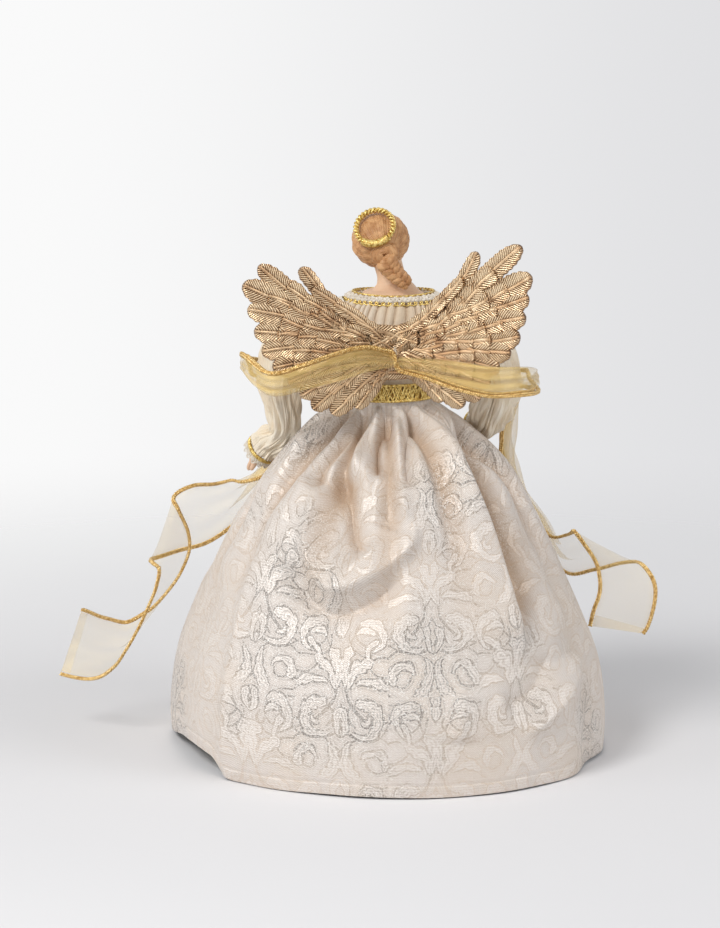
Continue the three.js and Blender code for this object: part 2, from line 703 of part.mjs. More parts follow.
function feather({ root, tip, width, shift = [0, 0] }, { edge, rib, shares }, shifted = 0) {
  const from = new THREE.Vector2(...root);
  const moved = new THREE.Vector2(...shift).multiplyScalar(shifted);
  const along = new THREE.Vector2(...tip).add(moved).sub(from);
  const side = new THREE.Vector2(-along.y, along.x).normalize();
  const rings = shares.map(([reach, share]) => {
    const half = 0.5 * width * share;
    const middle = from.clone().addScaledVector(along, reach);
    const left = middle.clone().addScaledVector(side, half);
    const right = middle.clone().addScaledVector(side, -half);
    return [
      vec(left.x, left.y, -wingBackThickness),
      vec(left.x, left.y, edge),
      vec(middle.x, middle.y, rib),
      vec(right.x, right.y, edge),
      vec(right.x, right.y, -wingBackThickness),
    ];
  });
  const end = from.clone().add(along);
  const blunt = 0.08;
  rings.push(rings.at(-1).map((p) => vec(mix(end.x, p.x, blunt), mix(end.y, p.y, blunt), p.z)));
  return loft(rings);
}

const spineRib = 3.2;
const spineRow = { edge: 2.4, rib: spineRib, shares: [[0, 0.5], [0.3, 1], [0.7, 1], [0.95, 0.4]] };
const spine = feather({ root: [0, 8], tip: [0, -24], width: 12 }, spineRow);
function halfPlan(shifted) {
  return join(featherRows.flatMap((row) => row.feathers.map((one) => feather(one, row, shifted))));
}

const wingPlan = halfPlan(0).add(halfPlan(1).mirror([1, 0, 0])).add(solid(spine)).simplify(wingDetail);

function wingAt(p, q, h) {
  const bend = 8;
  const sweep = radians(wingSweep);
  const reach = Math.hypot(p, bend);
  const lean = (Math.tan(sweep) * p) / reach;
  const out = vec(-lean, 1, 0).normalize();
  const back = Math.sin(sweep) * (reach - bend);
  return vec(Math.cos(sweep) * p, back, q).multiplyScalar(wingScale).addScaledVector(out, h);
}

const wingGroup = new THREE.Group();
const bodiceBack = chestHalfDepth + bodiceFace + bodicePleatDepth;
wingGroup.position.set(-4, bodiceBack + wingStandOff, coneHeight + wingRise);
wingGroup.rotation.set(0, radians(wingRoll), radians(wingYaw), 'ZYX');
topper.add(wingGroup);
wingGroup.updateMatrixWorld(true);
const flatWings = wingPlan.getMesh();
const wingPoints = [];
for (let i = 0; i < flatWings.vertProperties.length; i += 3) {
  wingPoints.push(wingAt(...flatWings.vertProperties.slice(i, i + 3)));
}
const wingFaces = [];
for (let i = 0; i < flatWings.triVerts.length; i += 3) {
  wingFaces.push([...flatWings.triVerts.slice(i, i + 3)]);
}
piece('wings', body(wingPoints, wingFaces), giltResin, wingGroup);

// Adhesive pad between the bodice and the wings
const padThickness = wingStandOff - wingBackThickness - 2 * clearance - 0.7;
const pad = new THREE.CylinderGeometry(5, 5, padThickness, 16);
const padDrop = wingBackThickness + clearance + padThickness / 2;
piece('wing_pad', surface(solid(pad)), adhesive, wingGroup).position.set(2, -padDrop, 0);

// Ribbon: stations of its middle line, the way across it and how wide it spreads there.
// The sash crosses behind the wings, gathered in the middle; from its ends the ribbon goes
// round both sides to the hands, and its tails fall beside the skirt.
const sashStandOff = spineRib + clearance + ribbonCordRadius;
const sash = [
  { p: 69, q: -11, spread: 12 },
  { p: 56, q: -10, spread: 14 },
  { p: 38, q: -7.5, spread: 15 },
  { p: 20, q: -5.5, spread: 15 },
  { p: 7, q: -7, spread: 13 },
  { p: 0, q: -8, spread: 12.5 },
  { p: -7, q: -8.5, spread: 13 },
  { p: -20, q: -10, spread: 13 },
  { p: -40, q: -13, spread: 14 },
  { p: -58, q: -15.5, spread: 15 },
  { p: -72, q: -15, spread: 14 },
].map(({ p, q, spread }) => ({
  at: wingAt(p, q, sashStandOff).applyMatrix4(wingGroup.matrixWorld),
  across: vec(0, 0, -1).transformDirection(wingGroup.matrixWorld),
  spread,
}));

function station(x, y, z, across, spread = ribbonWidth) {
  return { at: vec(x, y, z), across: vec(...across).normalize(), spread };
}

const leftFall = [
  station(161, -22, 46, [-0.32, -0.05, 0.95]),
  station(147, -20, 43, [-0.2, -0.51, 0.84], 36),
  station(136, -17, 45, [-0.21, -0.83, 0.52], 36),
  station(126, -15, 54, [-0.34, -0.84, 0.42]),
  station(118, -15, 65, [-0.41, -0.83, 0.37]),
  station(113, -15, 74, [-0.46, -0.81, 0.37]),
  station(108, -15, 87, [-0.44, -0.83, 0.35]),
  station(108, -15.5, 96, [-0.37, -0.83, 0.41]),
  station(112, -18, 102, [-0.33, -0.68, 0.65]),
  station(114, -27, 104, [-0.3, -0.52, 0.8]),
  station(103, -37.5, 107, [-0.25, 0, 0.97]),
  station(90, -42, 109, [-0.17, 0.13, 0.98], 36),
  station(80, -44, 114, [0, 0.4, 0.91], 33),
  station(70, -46, 121, [0.3, 0.8, 0.5], 29),
  station(58, -44, 134, [0.2, 0.97, -0.1], 24),
  station(53, -37, 150, [0.05, 0.96, -0.27], 20),
  station(53, -31, 166, [0, 0.93, -0.37], 17),
  station(56, -23, 179, [0, 0.8, -0.6], 14),
  station(63, -11, 188, [0, 0.4, -0.9], 13),
  station(68, 3, 192, [0, 0.15, -1], 12),
  station(68.5, 19, 195.5, [0, 0.15, -1], 11),
  station(68, 34, 198.5, [0, 0, -1], 11),
];
const rightFall = [
  station(-70, 48, 194, [0, 0, -1], 13),
  station(-70, 30, 191, [0, 0.15, -1], 12),
  station(-69.5, 8, 187, [0, 0.15, -1], 12),
  station(-66, -10, 183, [0, 0.4, -0.9], 13),
  station(-62.5, -21, 177, [0, 0.65, -0.75], 14),
  station(-61, -31, 167, [0, 0.88, -0.47], 16),
  station(-60, -39, 153, [0, 0.9, -0.43], 18),
  station(-60, -48, 137, [0, 0.9, -0.43], 21),
  station(-67, -56, 118, [-0.1, 0.98, 0], 25),
  station(-78, -52, 101, [0.05, 0.85, 0.5], 28),
  station(-89, -40, 88, [0.3, 0.48, 0.83], 31),
  station(-99, -32, 91, [0.47, 0.5, 0.73], 34),
  station(-106, -22, 95, [0.65, 0.48, 0.59]),
  station(-111, -9, 98, [0.9, -0.1, 0.42]),
  station(-116, -4, 93, [0.88, -0.38, 0.29]),
  station(-120, -2, 86, [0.8, -0.57, 0.19]),
  station(-121, 0, 78, [0.74, -0.66, 0.12]),
  station(-120, 0, 70, [0.7, -0.7, 0.15]),
  station(-118, -2, 63, [0.72, -0.69, 0.09]),
  station(-116, -2, 57, [0.71, -0.71, -0.06]),
];
const stations = [...leftFall, ...sash, ...rightFall];
const ribbonMiddle = new THREE.CatmullRomCurve3(stations.map((one) => one.at));
const ribbonAcross = new THREE.CatmullRomCurve3(stations.map((one) => one.across));
const ribbonSpread = new THREE.CatmullRomCurve3(stations.map((one) => vec(one.spread, 0, 0)));
const cordAllowance = 2 * ribbonCordRadius + ribbonCordGap;
const ribbonSteps = 2 * (stations.length - 1);

function ribbonPoint(share, v) {
  const half = 0.5 * ribbonSpread.getPoint(v).x - cordAllowance;
  return ribbonMiddle.getPoint(v).addScaledVector(ribbonAcross.getPoint(v).normalize(), half * share);
}

// An edge cord: rings in the plane of the ribbon's ruling and its normal, beyond the ribbon's edge
function edgeCord(share) {
  const sides = 4;
  const sheet = (u, v) => ribbonPoint(2 * u - 1, v);
  const rings = Array.from({ length: ribbonSteps + 1 }, (_, i) => {
    const v = i / ribbonSteps;
    const out = ribbonAcross.getPoint(v).normalize().multiplyScalar(share);
    const normal = normalAt(sheet, 0.5 + 0.5 * share, v, false);
    const centre = ribbonPoint(share, v).addScaledVector(out, ribbonCordGap + ribbonCordRadius);
    return Array.from({ length: sides }, (_, k) => {
      const angle = (turn * k) / sides;
      const spoke = out.clone().multiplyScalar(Math.cos(angle)).addScaledVector(normal, Math.sin(angle));
      return centre.clone().addScaledVector(spoke, ribbonCordRadius);
    });
  });
  return loft(rings);
}

piece('ribbon', shell((u, v) => ribbonPoint(2 * u - 1, v), ribbonThickness, 1, ribbonSteps, false), organza);
piece('ribbon_cord_upper', edgeCord(-1), gilt);
piece('ribbon_cord_lower', edgeCord(1), gilt);

// Clear adhesive over the ribbon's pinch
const dot = ellipsoid([glueDotRadius, 0.9, glueDotRadius], [0, 0, 0], 12, 8);
const dotRise = sashStandOff + ribbonCordRadius + clearance + 0.9;
piece('glue_dot', surface(solid(dot)), adhesive, wingGroup).position.set(0, dotRise, -3);

export default topper;
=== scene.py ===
# Angel tree topper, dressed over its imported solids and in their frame: +Z is up, the angel faces -Y and
# its left side is +X.
from math import atan2, copysign, hypot, pi, radians, sqrt, tan
import bpy
import numpy as np
from numpy import cos, sin
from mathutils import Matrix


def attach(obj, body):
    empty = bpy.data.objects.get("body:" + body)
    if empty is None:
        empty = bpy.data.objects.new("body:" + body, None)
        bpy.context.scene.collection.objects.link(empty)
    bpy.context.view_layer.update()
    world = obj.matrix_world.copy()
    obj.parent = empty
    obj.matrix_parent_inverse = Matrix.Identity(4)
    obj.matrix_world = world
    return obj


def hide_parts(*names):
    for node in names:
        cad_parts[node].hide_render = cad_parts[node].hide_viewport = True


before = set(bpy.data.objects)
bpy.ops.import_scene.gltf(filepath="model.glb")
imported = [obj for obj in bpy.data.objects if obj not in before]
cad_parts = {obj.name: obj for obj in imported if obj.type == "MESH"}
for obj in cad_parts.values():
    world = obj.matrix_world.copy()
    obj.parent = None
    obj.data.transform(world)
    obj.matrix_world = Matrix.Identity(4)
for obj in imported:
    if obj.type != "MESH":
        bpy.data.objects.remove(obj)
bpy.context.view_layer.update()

MM = 0.001
TURN = 2 * pi
# Barbs of a feather, in its shape and its paint: the pitch, and how far each slants for its distance out
barb_pitch, barb_slant = 1.6, 1.1


# Small numeric helpers
def smooth(x, start, end):
    t = np.clip((x - start) / (end - start), 0, 1)
    return t * t * (3 - 2 * t)


def mix(a, b, t):
    return a + (b - a) * t


def bump(x, middle, width):
    return np.exp(-(((x - middle) / width) ** 2))


def band(x, start, full, fading, end):
    """Rises from 0 to 1 between start and full, and falls again between fading and end."""
    return smooth(x, start, full) * (1 - smooth(x, fading, end))


def unit(v):
    return v / np.maximum(np.linalg.norm(v, axis=-1, keepdims=True), 1e-9)


def join(*parts):
    """Coordinates of any matching shapes, stacked into points."""
    return np.stack(np.broadcast_arrays(*parts), -1)


def wrapped(degrees):
    return (degrees + 180) % 360 - 180


def run_along(path):
    """Distance from the start of a path at each of its points."""
    return np.concatenate([[0], np.cumsum(np.linalg.norm(np.diff(path, axis=0), axis=1))])


def ripple(x, y, seed, count=6):
    """Smooth seeded unevenness of about unit height, from crossing waves."""
    draw = np.random.default_rng(seed)
    total = 0
    for _ in range(count):
        angle = draw.uniform(0, TURN)
        pitch = draw.uniform(0.5, 1.7)
        total = total + sin(pitch * (x * cos(angle) + y * sin(angle)) + draw.uniform(0, TURN))
    return total / sqrt(count)


def spline(points, ts):
    """Centripetal Catmull-Rom curve through the points, evenly parametrised over them."""
    p = np.array(points, float)
    count = len(p)
    t = np.clip(np.asarray(ts, float), 0, 1) * (count - 1)
    i = np.minimum(t.astype(int), count - 2)
    w = t - i
    ext = np.vstack([2 * p[0] - p[1], p, 2 * p[-1] - p[-2]])
    p0, p1, p2, p3 = (ext[i + k].T for k in range(4))

    def gap(a, b):
        return np.maximum(np.sum((a - b) ** 2, axis=0) ** 0.25, 1e-3)

    d0, d1, d2 = gap(p0, p1), gap(p1, p2), gap(p2, p3)
    m1 = ((p1 - p0) / d0 - (p2 - p0) / (d0 + d1) + (p2 - p1) / d1) * d1
    m2 = ((p2 - p1) / d1 - (p3 - p1) / (d1 + d2) + (p3 - p2) / d2) * d1
    square = -3 * p1 + 3 * p2 - 2 * m1 - m2
    cube = 2 * p1 - 2 * p2 + m1 + m2
    return (p1 + m1 * w + square * w**2 + cube * w**3).T


def glide(values, ts):
    """The same curve through single numbers."""
    return spline([(value,) for value in values], ts)[:, 0]


def round_off(t, power, least=0.02):
    """Share of a strand's radius along it, full but for its rounded ends."""
    return np.sqrt(np.clip(1 - (2 * t - 1) ** power, least, 1))


def turn_about(axis, degrees):
    c, s = cos(radians(degrees)), sin(radians(degrees))
    a, b = [(1, 2), (2, 0), (0, 1)][axis]
    m = np.eye(3)
    m[a, a] = m[b, b] = c
    m[a, b] = -s
    m[b, a] = s
    return m


def frames_along(path, up):
    """Tangent and two square directions at each point of a path, carried along it without twist."""
    tangent = unit(np.gradient(path, axis=0))
    side = np.zeros_like(path)
    up = np.array(up, float)
    for i, t in enumerate(tangent):
        up = up - t * np.dot(up, t)
        up = up / max(np.linalg.norm(up), 1e-9)
        side[i] = up
    return tangent, side, np.cross(tangent, side)


def grid_uv(columns, rows):
    """Shares of the way round and down for a grid that closes on itself."""
    v, u = np.mgrid[0 : rows + 1, 0:columns]
    return u / columns, v / rows


def flat_cloth(width, length, columns, rows):
    """Cloth coordinates of a plain rectangle."""
    return join(np.linspace(0, width, columns + 1)[None, :], np.linspace(0, length, rows + 1)[:, None])


def link(name, data):
    piece = bpy.data.objects.new(name, data)
    bpy.context.collection.objects.link(piece)
    return piece


class Shape:
    """Collects grids of points into one mesh, with cloth coordinates and a painted value per point."""

    def __init__(self):
        self.points, self.faces, self.uvs, self.tones = [], [], [], []
        self.count = 0

    def grid(self, p, wrap=False, uv=None, tone=0.0):
        rows, cols = p.shape[:2]
        j, i = np.mgrid[0 : rows - 1, 0 : cols if wrap else cols - 1]
        a = j * cols + i
        b = j * cols + (i + 1) % cols
        quads = np.stack([a, b, b + cols, a + cols], -1).reshape(-1, 4)
        self.faces.append(quads + self.count)
        self.points.append(p.reshape(-1, 3))
        self.tones.append(np.broadcast_to(tone, (rows, cols)).reshape(-1))
        if uv is None:
            v, u = np.mgrid[0:rows, 0 : cols + 1]
            uv = np.stack([u, v], -1).astype(float)
        corners = np.stack([uv[j, i], uv[j, i + 1], uv[j + 1, i + 1], uv[j + 1, i]], 2)
        self.uvs.append(corners.reshape(-1, 2))
        self.count += rows * cols
        return self

    def make(self, name, material):
        mesh = bpy.data.meshes.new(name)
        mesh.from_pydata((np.vstack(self.points) * MM).tolist(), [], np.vstack(self.faces).tolist())
        layer = mesh.uv_layers.new(name="cloth")
        layer.data.foreach_set("uv", np.vstack(self.uvs).reshape(-1))
        tone = mesh.attributes.new("tone", "FLOAT", "POINT")
        tone.data.foreach_set("value", np.concatenate(self.tones).astype(float))
        mesh.polygons.foreach_set("use_smooth", [True] * len(mesh.polygons))
        mesh.materials.append(material)
        mesh.update()
        return link(name, mesh)


def rings(path, radii, sides, up=(0.1, 0.2, 1), squash=1.0, grooves=0, groove=0.0, twist=0.0):
    """Grid of rings round a path, with optional lengthwise grooves that twist along it."""
    path = np.asarray(path, float)
    _, a, b = frames_along(path, up)
    angle = np.linspace(0, TURN, sides, endpoint=False)[None, :]
    share = np.linspace(0, 1, len(path))[:, None]
    r = np.broadcast_to(np.asarray(radii, float).reshape(-1, 1), (len(path), 1))
    r = r * (1 + groove * cos(grooves * (angle + twist * share)))
    across = r * cos(angle)
    along = squash * r * sin(angle)
    return path[:, None] + across[..., None] * a[:, None] + along[..., None] * b[:, None]


def dress(piece, slot, *nodes):
    """Puts a piece on the body and hides the solids that it stands for. The slot is not used."""
    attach(piece, "root")
    if nodes:
        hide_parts(*nodes)
    return piece


def threads(name, lines, radius, material, slot, *nodes, closed=True, fine=2):
    """Round threads along the lines, as one dressed piece."""
    curve = bpy.data.curves.new(name, "CURVE")
    curve.dimensions = "3D"
    curve.bevel_depth = radius * MM
    curve.bevel_resolution = fine
    curve.use_fill_caps = True
    for line in lines:
        strand = curve.splines.new("POLY")
        strand.points.add(len(line) - 1)
        flat = np.hstack([np.asarray(line, float) * MM, np.ones((len(line), 1))])
        strand.points.foreach_set("co", flat.reshape(-1))
        strand.use_cyclic_u = closed
        strand.use_smooth = True
    curve.materials.append(material)
    return dress(link(name, curve), slot, *nodes)


def thicken(piece, thickness):
    wall = piece.modifiers.new("thickness", "SOLIDIFY")
    wall.thickness = thickness * MM
    wall.offset = 0
    return piece


# Materials
def operator(name):
    return lambda self, *others: self.graph.math(name, self, *others)


class Value:
    """A number that runs through a material's nodes, with its arithmetic written plainly."""

    def __init__(self, graph, socket):
        self.graph, self.socket = graph, socket

    def __rsub__(self, other):
        return self.graph.math("SUBTRACT", other, self)

    __add__, __sub__, __mul__ = operator("ADD"), operator("SUBTRACT"), operator("MULTIPLY")
    __truediv__, __mod__, __abs__ = operator("DIVIDE"), operator("MODULO"), operator("ABSOLUTE")


class Graph:
    """Builds the nodes of one material, or of the world."""

    def __init__(self, name, world=False, **sockets):
        self.material = (bpy.data.worlds if world else bpy.data.materials).new(name)
        self.material.use_nodes = True
        self.nodes = self.material.node_tree.nodes
        self.shader = self.nodes["Background" if world else "Principled BSDF"]
        self.set(**sockets)

    def put(self, socket, value):
        """Gives a socket a number, a colour of three display values from 0 to 255, or another's output."""
        if isinstance(value, Value):
            value = value.socket
        if isinstance(value, bpy.types.NodeSocket):
            self.material.node_tree.links.new(value, socket)
        else:
            socket.default_value = colour(*value) if isinstance(value, tuple) else value

    def set(self, **sockets):
        for name, value in sockets.items():
            self.put(self.shader.inputs[name.replace("_", " ")], value)

    def add(self, kind, inputs=None, out=0, **settings):
        """A new node with its inputs by name or place. Returns one output, or several for a slice."""
        made = self.nodes.new("ShaderNode" + kind)
        for name, value in settings.items():
            setattr(made, name, value)
        for key, value in (inputs or {}).items():
            self.put(made.inputs[key], value)
        return made.outputs[out]

    def math(self, operation, *values):
        return Value(self, self.add("Math", dict(enumerate(values)), operation=operation))

    def blend(self, share, a, b):
        return self.add("Mix", {0: share, 6: a, 7: b}, 2, data_type="RGBA")

    def ramp(self, value, low, high):
        return Value(self, self.add("MapRange", {0: value, 1: low, 2: high}, interpolation_type="SMOOTHSTEP"))

    def tone(self):
        return Value(self, self.add("Attribute", out="Fac", attribute_name="tone"))

    def cloth(self):
        """Cloth coordinates, in millimetres across and along."""
        u, v = self.add("SeparateXYZ", {0: self.add("UVMap")}, slice(2))
        return Value(self, u), Value(self, v)

    def object(self):
        return self.add("TexCoord", out="Object")

    def noise(self, scale, detail=3.0):
        sockets = {"Vector": self.object(), "Scale": scale, "Detail": detail}
        return Value(self, self.add("TexNoise", sockets, "Fac"))

    def wave(self, x, pitch):
        return self.math("SINE", x * (TURN / pitch))

    def weave(self, pitch):
        """Plain weave of the given thread pitch."""
        u, v = self.cloth()
        return self.wave(u, pitch) * self.wave(v, pitch)

    def relief(self, height, depth, strength=1.0):
        """Adds the relief and ends the material."""
        self.set(Normal=self.add("Bump", {"Height": height, "Distance": depth * MM, "Strength": strength}))
        return self.material


def colour(r, g, b):
    """A colour written as 0 to 255 display values."""
    linear = [((v / 255 + 0.055) / 1.055) ** 2.4 if v > 10 else v / 255 / 12.92 for v in (r, g, b)]
    return (*linear, 1.0)


def make_coat(name, dark, light, grain, bumps, **sockets):
    """A coat that varies between two colours: scale, detail and range of its grain, then scale, detail, depth
    and strength of its relief."""
    g = Graph(name, **sockets)
    g.set(Base_Color=g.blend(g.ramp(g.noise(*grain[:2]), *grain[2:]), dark, light))
    return g.relief(g.noise(*bumps[:2]), *bumps[2:])


def make_gilt(name, dark, light, roughness=0.34):
    grain, bumps = (900, 2, 0.35, 0.65), (2200, 2, 0.12, 0.6)
    return make_coat(name, dark, light, grain, bumps, Metallic=0.7, Roughness=roughness)


def make_plain(name, dark, light, roughness, metallic=0.0):
    grain, bumps = (120, 4, 0.3, 0.7), (500, 4, 0.15, 0.5)
    return make_coat(name, dark, light, grain, bumps, Roughness=roughness, Metallic=metallic)


def make_satin():
    g = Graph("satin_cloth", Roughness=0.4, Sheen_Weight=0.1, Sheen_Roughness=0.4, Specular_IOR_Level=0.5)
    cloth = g.blend(g.ramp(g.noise(55), 0.35, 0.7), (243, 228, 203), (251, 243, 226))
    # Painted shade: the painted value browns the cloth in the valleys of pleats and crinkles, and over the
    # whole bodice under the wings.
    g.set(Base_Color=g.blend(g.tone() * 0.45, cloth, (186, 156, 122)))
    u, _ = g.cloth()
    return g.relief(g.wave(u, 0.7) + g.weave(0.35), 0.05, 0.5)


def make_resin():
    """Gilt casting with barbs slanting from each quill; its brown recess wash is partly painted shade, with
    painted highlights on the crests.
    """
    g = Graph("gilt_resin", Metallic=0.72)
    u, v = g.cloth()
    away = abs(u)
    slant = v - away * barb_slant + (g.noise(160, 2) - 0.5) * 2.2
    barb = abs(g.wave(slant, 2 * barb_pitch))
    quill = g.ramp(away, 0.75, 0.35)
    groove = g.ramp(abs(away - 0.95), 0.3, 0.05)
    crest = g.math("MAXIMUM", barb * (1.0 - quill), quill * 0.55) - groove * 0.5
    # Low values give the brown wash and painted shade, high ones painted highlights on barb crests and
    # quills.
    wash_and_light = crest * 0.72 + g.tone() * 0.36 + (g.noise(220) - 0.5) * 0.9
    gold = g.blend(g.ramp(g.noise(45), 0.35, 0.65), (200, 161, 121), (220, 189, 150))
    washed_and_shaded = g.blend(g.ramp(wash_and_light, 0.2, 0.58), (122, 88, 60), gold)
    # Painted highlight: the highest crests turn pale gold.
    g.set(Base_Color=g.blend(g.ramp(wash_and_light, 0.62, 0.95), washed_and_shaded, (244, 220, 184)))
    g.set(Roughness=crest * -0.12 + 0.42)
    return g.relief(g.noise(1100, 2) * 0.35 + crest, 0.5)


def make_casting():
    """Painted head: hair, skin, lines and lips are picked out by the painted value."""
    g = Graph("painted_casting", Roughness=0.5, Specular_IOR_Level=0.4)
    tone = g.tone()
    hair = g.blend(g.ramp(g.noise(260), 0.3, 0.7), (176, 125, 80), (214, 166, 117))
    paint = g.blend(g.ramp(g.noise(90), 0.3, 0.7), (222, 184, 150), (232, 198, 166))
    for start, end, cover in ((0.3, 0.7, hair), (1.2, 1.7, (96, 62, 42)), (2.2, 2.7, (198, 118, 98))):
        paint = g.blend(g.ramp(tone, start, end), paint, cover)
    g.set(Base_Color=paint)
    return g.relief(g.noise(700), 0.06, 0.5)


def make_organza():
    g = Graph("organza", Roughness=0.42, Sheen_Weight=0.4, Metallic=0.15)
    grain = g.weave(0.6)
    g.set(Base_Color=g.blend(g.ramp(grain, -0.6, 0.6), (226, 184, 92), (246, 224, 150)))
    g.set(Alpha=grain * 0.05 + g.tone() * 0.34 + 0.17)
    return g.relief(grain, 0.05, 0.5)


# Leaves of the brocade on one side of a motif's middle line: centre, radius, start angle, sweep (its sign
# is the sense), half width, and how the radius grows
leaves = [
    (8, -8, 6.6, -130, 250, 2.9, -0.25),
    (8.5, -8.5, 2.2, 60, -200, 1.4, -0.5),
    (22, 8, 21, 194, -42, 2.6, 0.0),
    (14.5, 2, 12, 178, -72, 2.7, 0.0),
    (9.5, -4, 9.2, 118, -76, 2.2, 0.1),
    (11, -23, 9.0, 140, 110, 2.7, 0.0),
    (12, -24, 4.4, 170, -215, 2.2, -0.2),
    (10, 22, 6.2, -75, 200, 2.6, -0.25),
    (9, 20, 3.6, 150, -110, 1.6, 0.2),
    (-8, 26, 9.6, -30, 58, 1.9, 0.0),
    (-9, -9, 11.0, -32, 54, 2.0, 0.0),
    (16, 14, 7.0, 190, -80, 1.8, 0.0),
]
motif_width, motif_height, leaf_scale, lobe = 46.0, 82.0, 1.33, 4.6


def make_brocade():
    """Ivory jacquard: lobed leaf scrolls mirrored in a half drop, with silver and pale gold threads, their
    reflections and glints partly painted, and painted shade in the folds.
    """
    g = Graph("brocade")
    u, v = g.cloth()
    column = g.math("FLOOR", u / motif_width)
    down = v / motif_height + abs(column) % 2.0 * 0.5
    side = u - (column + 0.5) * motif_width
    waver = (g.noise(70, 1) - 0.5) * 6.0
    x = abs(side) / leaf_scale + waver
    y = (g.math("FRACT", down) - 0.5) * (-motif_height / leaf_scale) - waver * 0.7

    def leaf(cx, cy, size, start, sweep, width, growth):
        """One lobed leaf along an arc: how deep a point lies inside it."""
        dx, dy = x - cx, y - cy
        sense = copysign(1, sweep)
        turned = g.math("ARCTAN2", dy, dx) * (sense / TURN) + (3 - sense * start / 360)
        share = g.math("FRACT", turned) * (360 / abs(sweep))
        away = abs(g.math("SQRT", dx * dx + dy * dy) - (share * (size * growth) + size))
        lobes = radians(abs(sweep)) * size / lobe
        scallop = abs(g.math("SINE", share * (pi * lobes) - away * 0.75))
        left = g.math("MAXIMUM", 1.0 - g.math("POWER", share, 4.0), 0.0)
        swell = g.math("SQRT", left) * (share * 0.9 + 0.25)
        return swell * (scallop * (0.4 * width) + 0.8 * width) - away

    depth = leaf(*leaves[0])
    for one in leaves[1:]:
        depth = g.math("MAXIMUM", depth, leaf(*one))
    inside = g.ramp(depth, -0.1, 0.2)
    rim = g.ramp(abs(depth), 0.6, 0.2)
    vein = g.ramp(abs(depth % 1.2 - 0.6), 0.2, 0.5) * g.ramp(depth, 0.5, 0.8)
    shadow = g.ramp(abs(depth + 1.1), 0.4, 0.1)
    stipple = g.ramp(g.noise(1900, 1), 0.36, 0.58)
    line = g.math("MAXIMUM", g.math("MAXIMUM", rim, vein * 0.7), shadow * 0.4)
    line = line * (stipple * 0.75 + 0.25)
    # Painted reflection: large patches where the metal threads are painted grey, with stronger outlines and
    # hatching, as where they mirror something dark; elsewhere the outlines stay warm beige.
    painted_reflection = g.ramp(g.noise(15, 2), 0.46, 0.62)
    rib = g.wave(v, 1.3)
    twill = g.wave(u + v * 1.6, 1.5)
    ground = g.blend(g.ramp(twill, -1.0, 1.0), (210, 200, 191), (227, 219, 212))
    ground = g.blend(g.ramp(g.noise(26, 2), 0.42, 0.68) * 0.22, ground, (226, 204, 178))
    figure = g.blend(g.ramp(rib, -0.8, 0.8), (225, 216, 208), (235, 228, 221))
    cloth = g.blend(inside * 0.6, ground, figure)
    ink = g.blend(painted_reflection, (196, 168, 136), (118, 112, 106))
    cloth = g.blend(line * (painted_reflection * 0.5 + 0.38), cloth, ink)
    hatch = inside * g.ramp(rib, 0.2, -0.6) * painted_reflection * 0.2
    cloth = g.blend(hatch * stipple, cloth, (150, 143, 136))
    # Painted shade: the skirt's painted value darkens its valleys and gathers towards warm tan.
    cloth = g.blend(g.tone() * 0.68, cloth, (188, 155, 120))
    # Painted highlight: scattered glints of the metal threads, more of them in the reflecting patches.
    glint = g.ramp(g.noise(1500, 1), 0.55, 0.66) * (painted_reflection * 0.5 + 0.2)
    g.set(Base_Color=g.blend(glint, cloth, (246, 243, 238)))
    g.set(Metallic=inside * stipple * 0.24 + 0.08)
    g.set(Roughness=inside * -0.12 + 0.57)
    height = inside * 0.5 + twill * 0.12 + rib * 0.1 + g.noise(1700, 1) * 0.8
    return g.relief(height, 0.25, 0.9)


satin = make_satin()
brocade = make_brocade()
gilt = make_gilt("gilt_cord", (186, 150, 72), (240, 216, 140))
gilt_pale = make_gilt("gilt_ribbon_cord", (190, 150, 84), (240, 212, 150))
gilt_dark = make_gilt("gilt_net_ground", (110, 78, 34), (158, 122, 60), 0.45)
lace = make_coat(
    "white_lace", (214, 203, 186), (240, 234, 222), (400, 3, 0.3, 0.7), (1800, 2, 0.15, 0.6),
    Roughness=0.75, Sheen_Weight=0.3,
)
resin = make_resin()
casting = make_casting()
skin = make_coat(
    "painted_skin", (216, 178, 146), (234, 200, 170), (160, 3, 0.3, 0.7), (600, 3, 0.06, 0.4), Roughness=0.48
)
organza = make_organza()
adhesive = make_coat(
    "clear_adhesive", (226, 216, 190), (246, 240, 226), (300, 3, 0.4, 0.6), (500, 3, 0.2, 0.4),
    Roughness=0.12, Transmission_Weight=0.7, IOR=1.45,
)
moulded = make_plain("moulded_cone", (206, 198, 182), (222, 216, 203), 0.62)
foam = make_plain("foam", (226, 222, 212), (238, 236, 228), 0.9)
bare_wire = make_plain("bare_wire", (140, 140, 138), (176, 176, 172), 0.32, 0.9)

# Pieces that the cloth hides keep their solids
hidden = {"support_cone": moulded, "torso_core": foam, "arm_wire": bare_wire, "wing_pad": adhesive}
for node, material in hidden.items():
    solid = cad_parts[node]
    solid.data.materials.clear()
    solid.data.materials.append(material)

# Camera: behind the angel, looking down at it
view_target = np.array([13.5, 0.0, 142.6])
view_distance = 1900.0
view_drop = radians(11)
picture_height_px = 928
focal_px = 3800
camera_data = bpy.data.cameras.new("camera")
camera_data.sensor_fit = "VERTICAL"
camera_data.sensor_height = 36
camera_data.lens = focal_px * camera_data.sensor_height / picture_height_px
camera_data.clip_end = 20
camera = link("camera", camera_data)
camera.location = (view_target + view_distance * np.array([0, cos(view_drop), sin(view_drop)])) * MM
camera.rotation_euler = (pi / 2 - view_drop, 0, pi)
bpy.context.scene.camera = camera

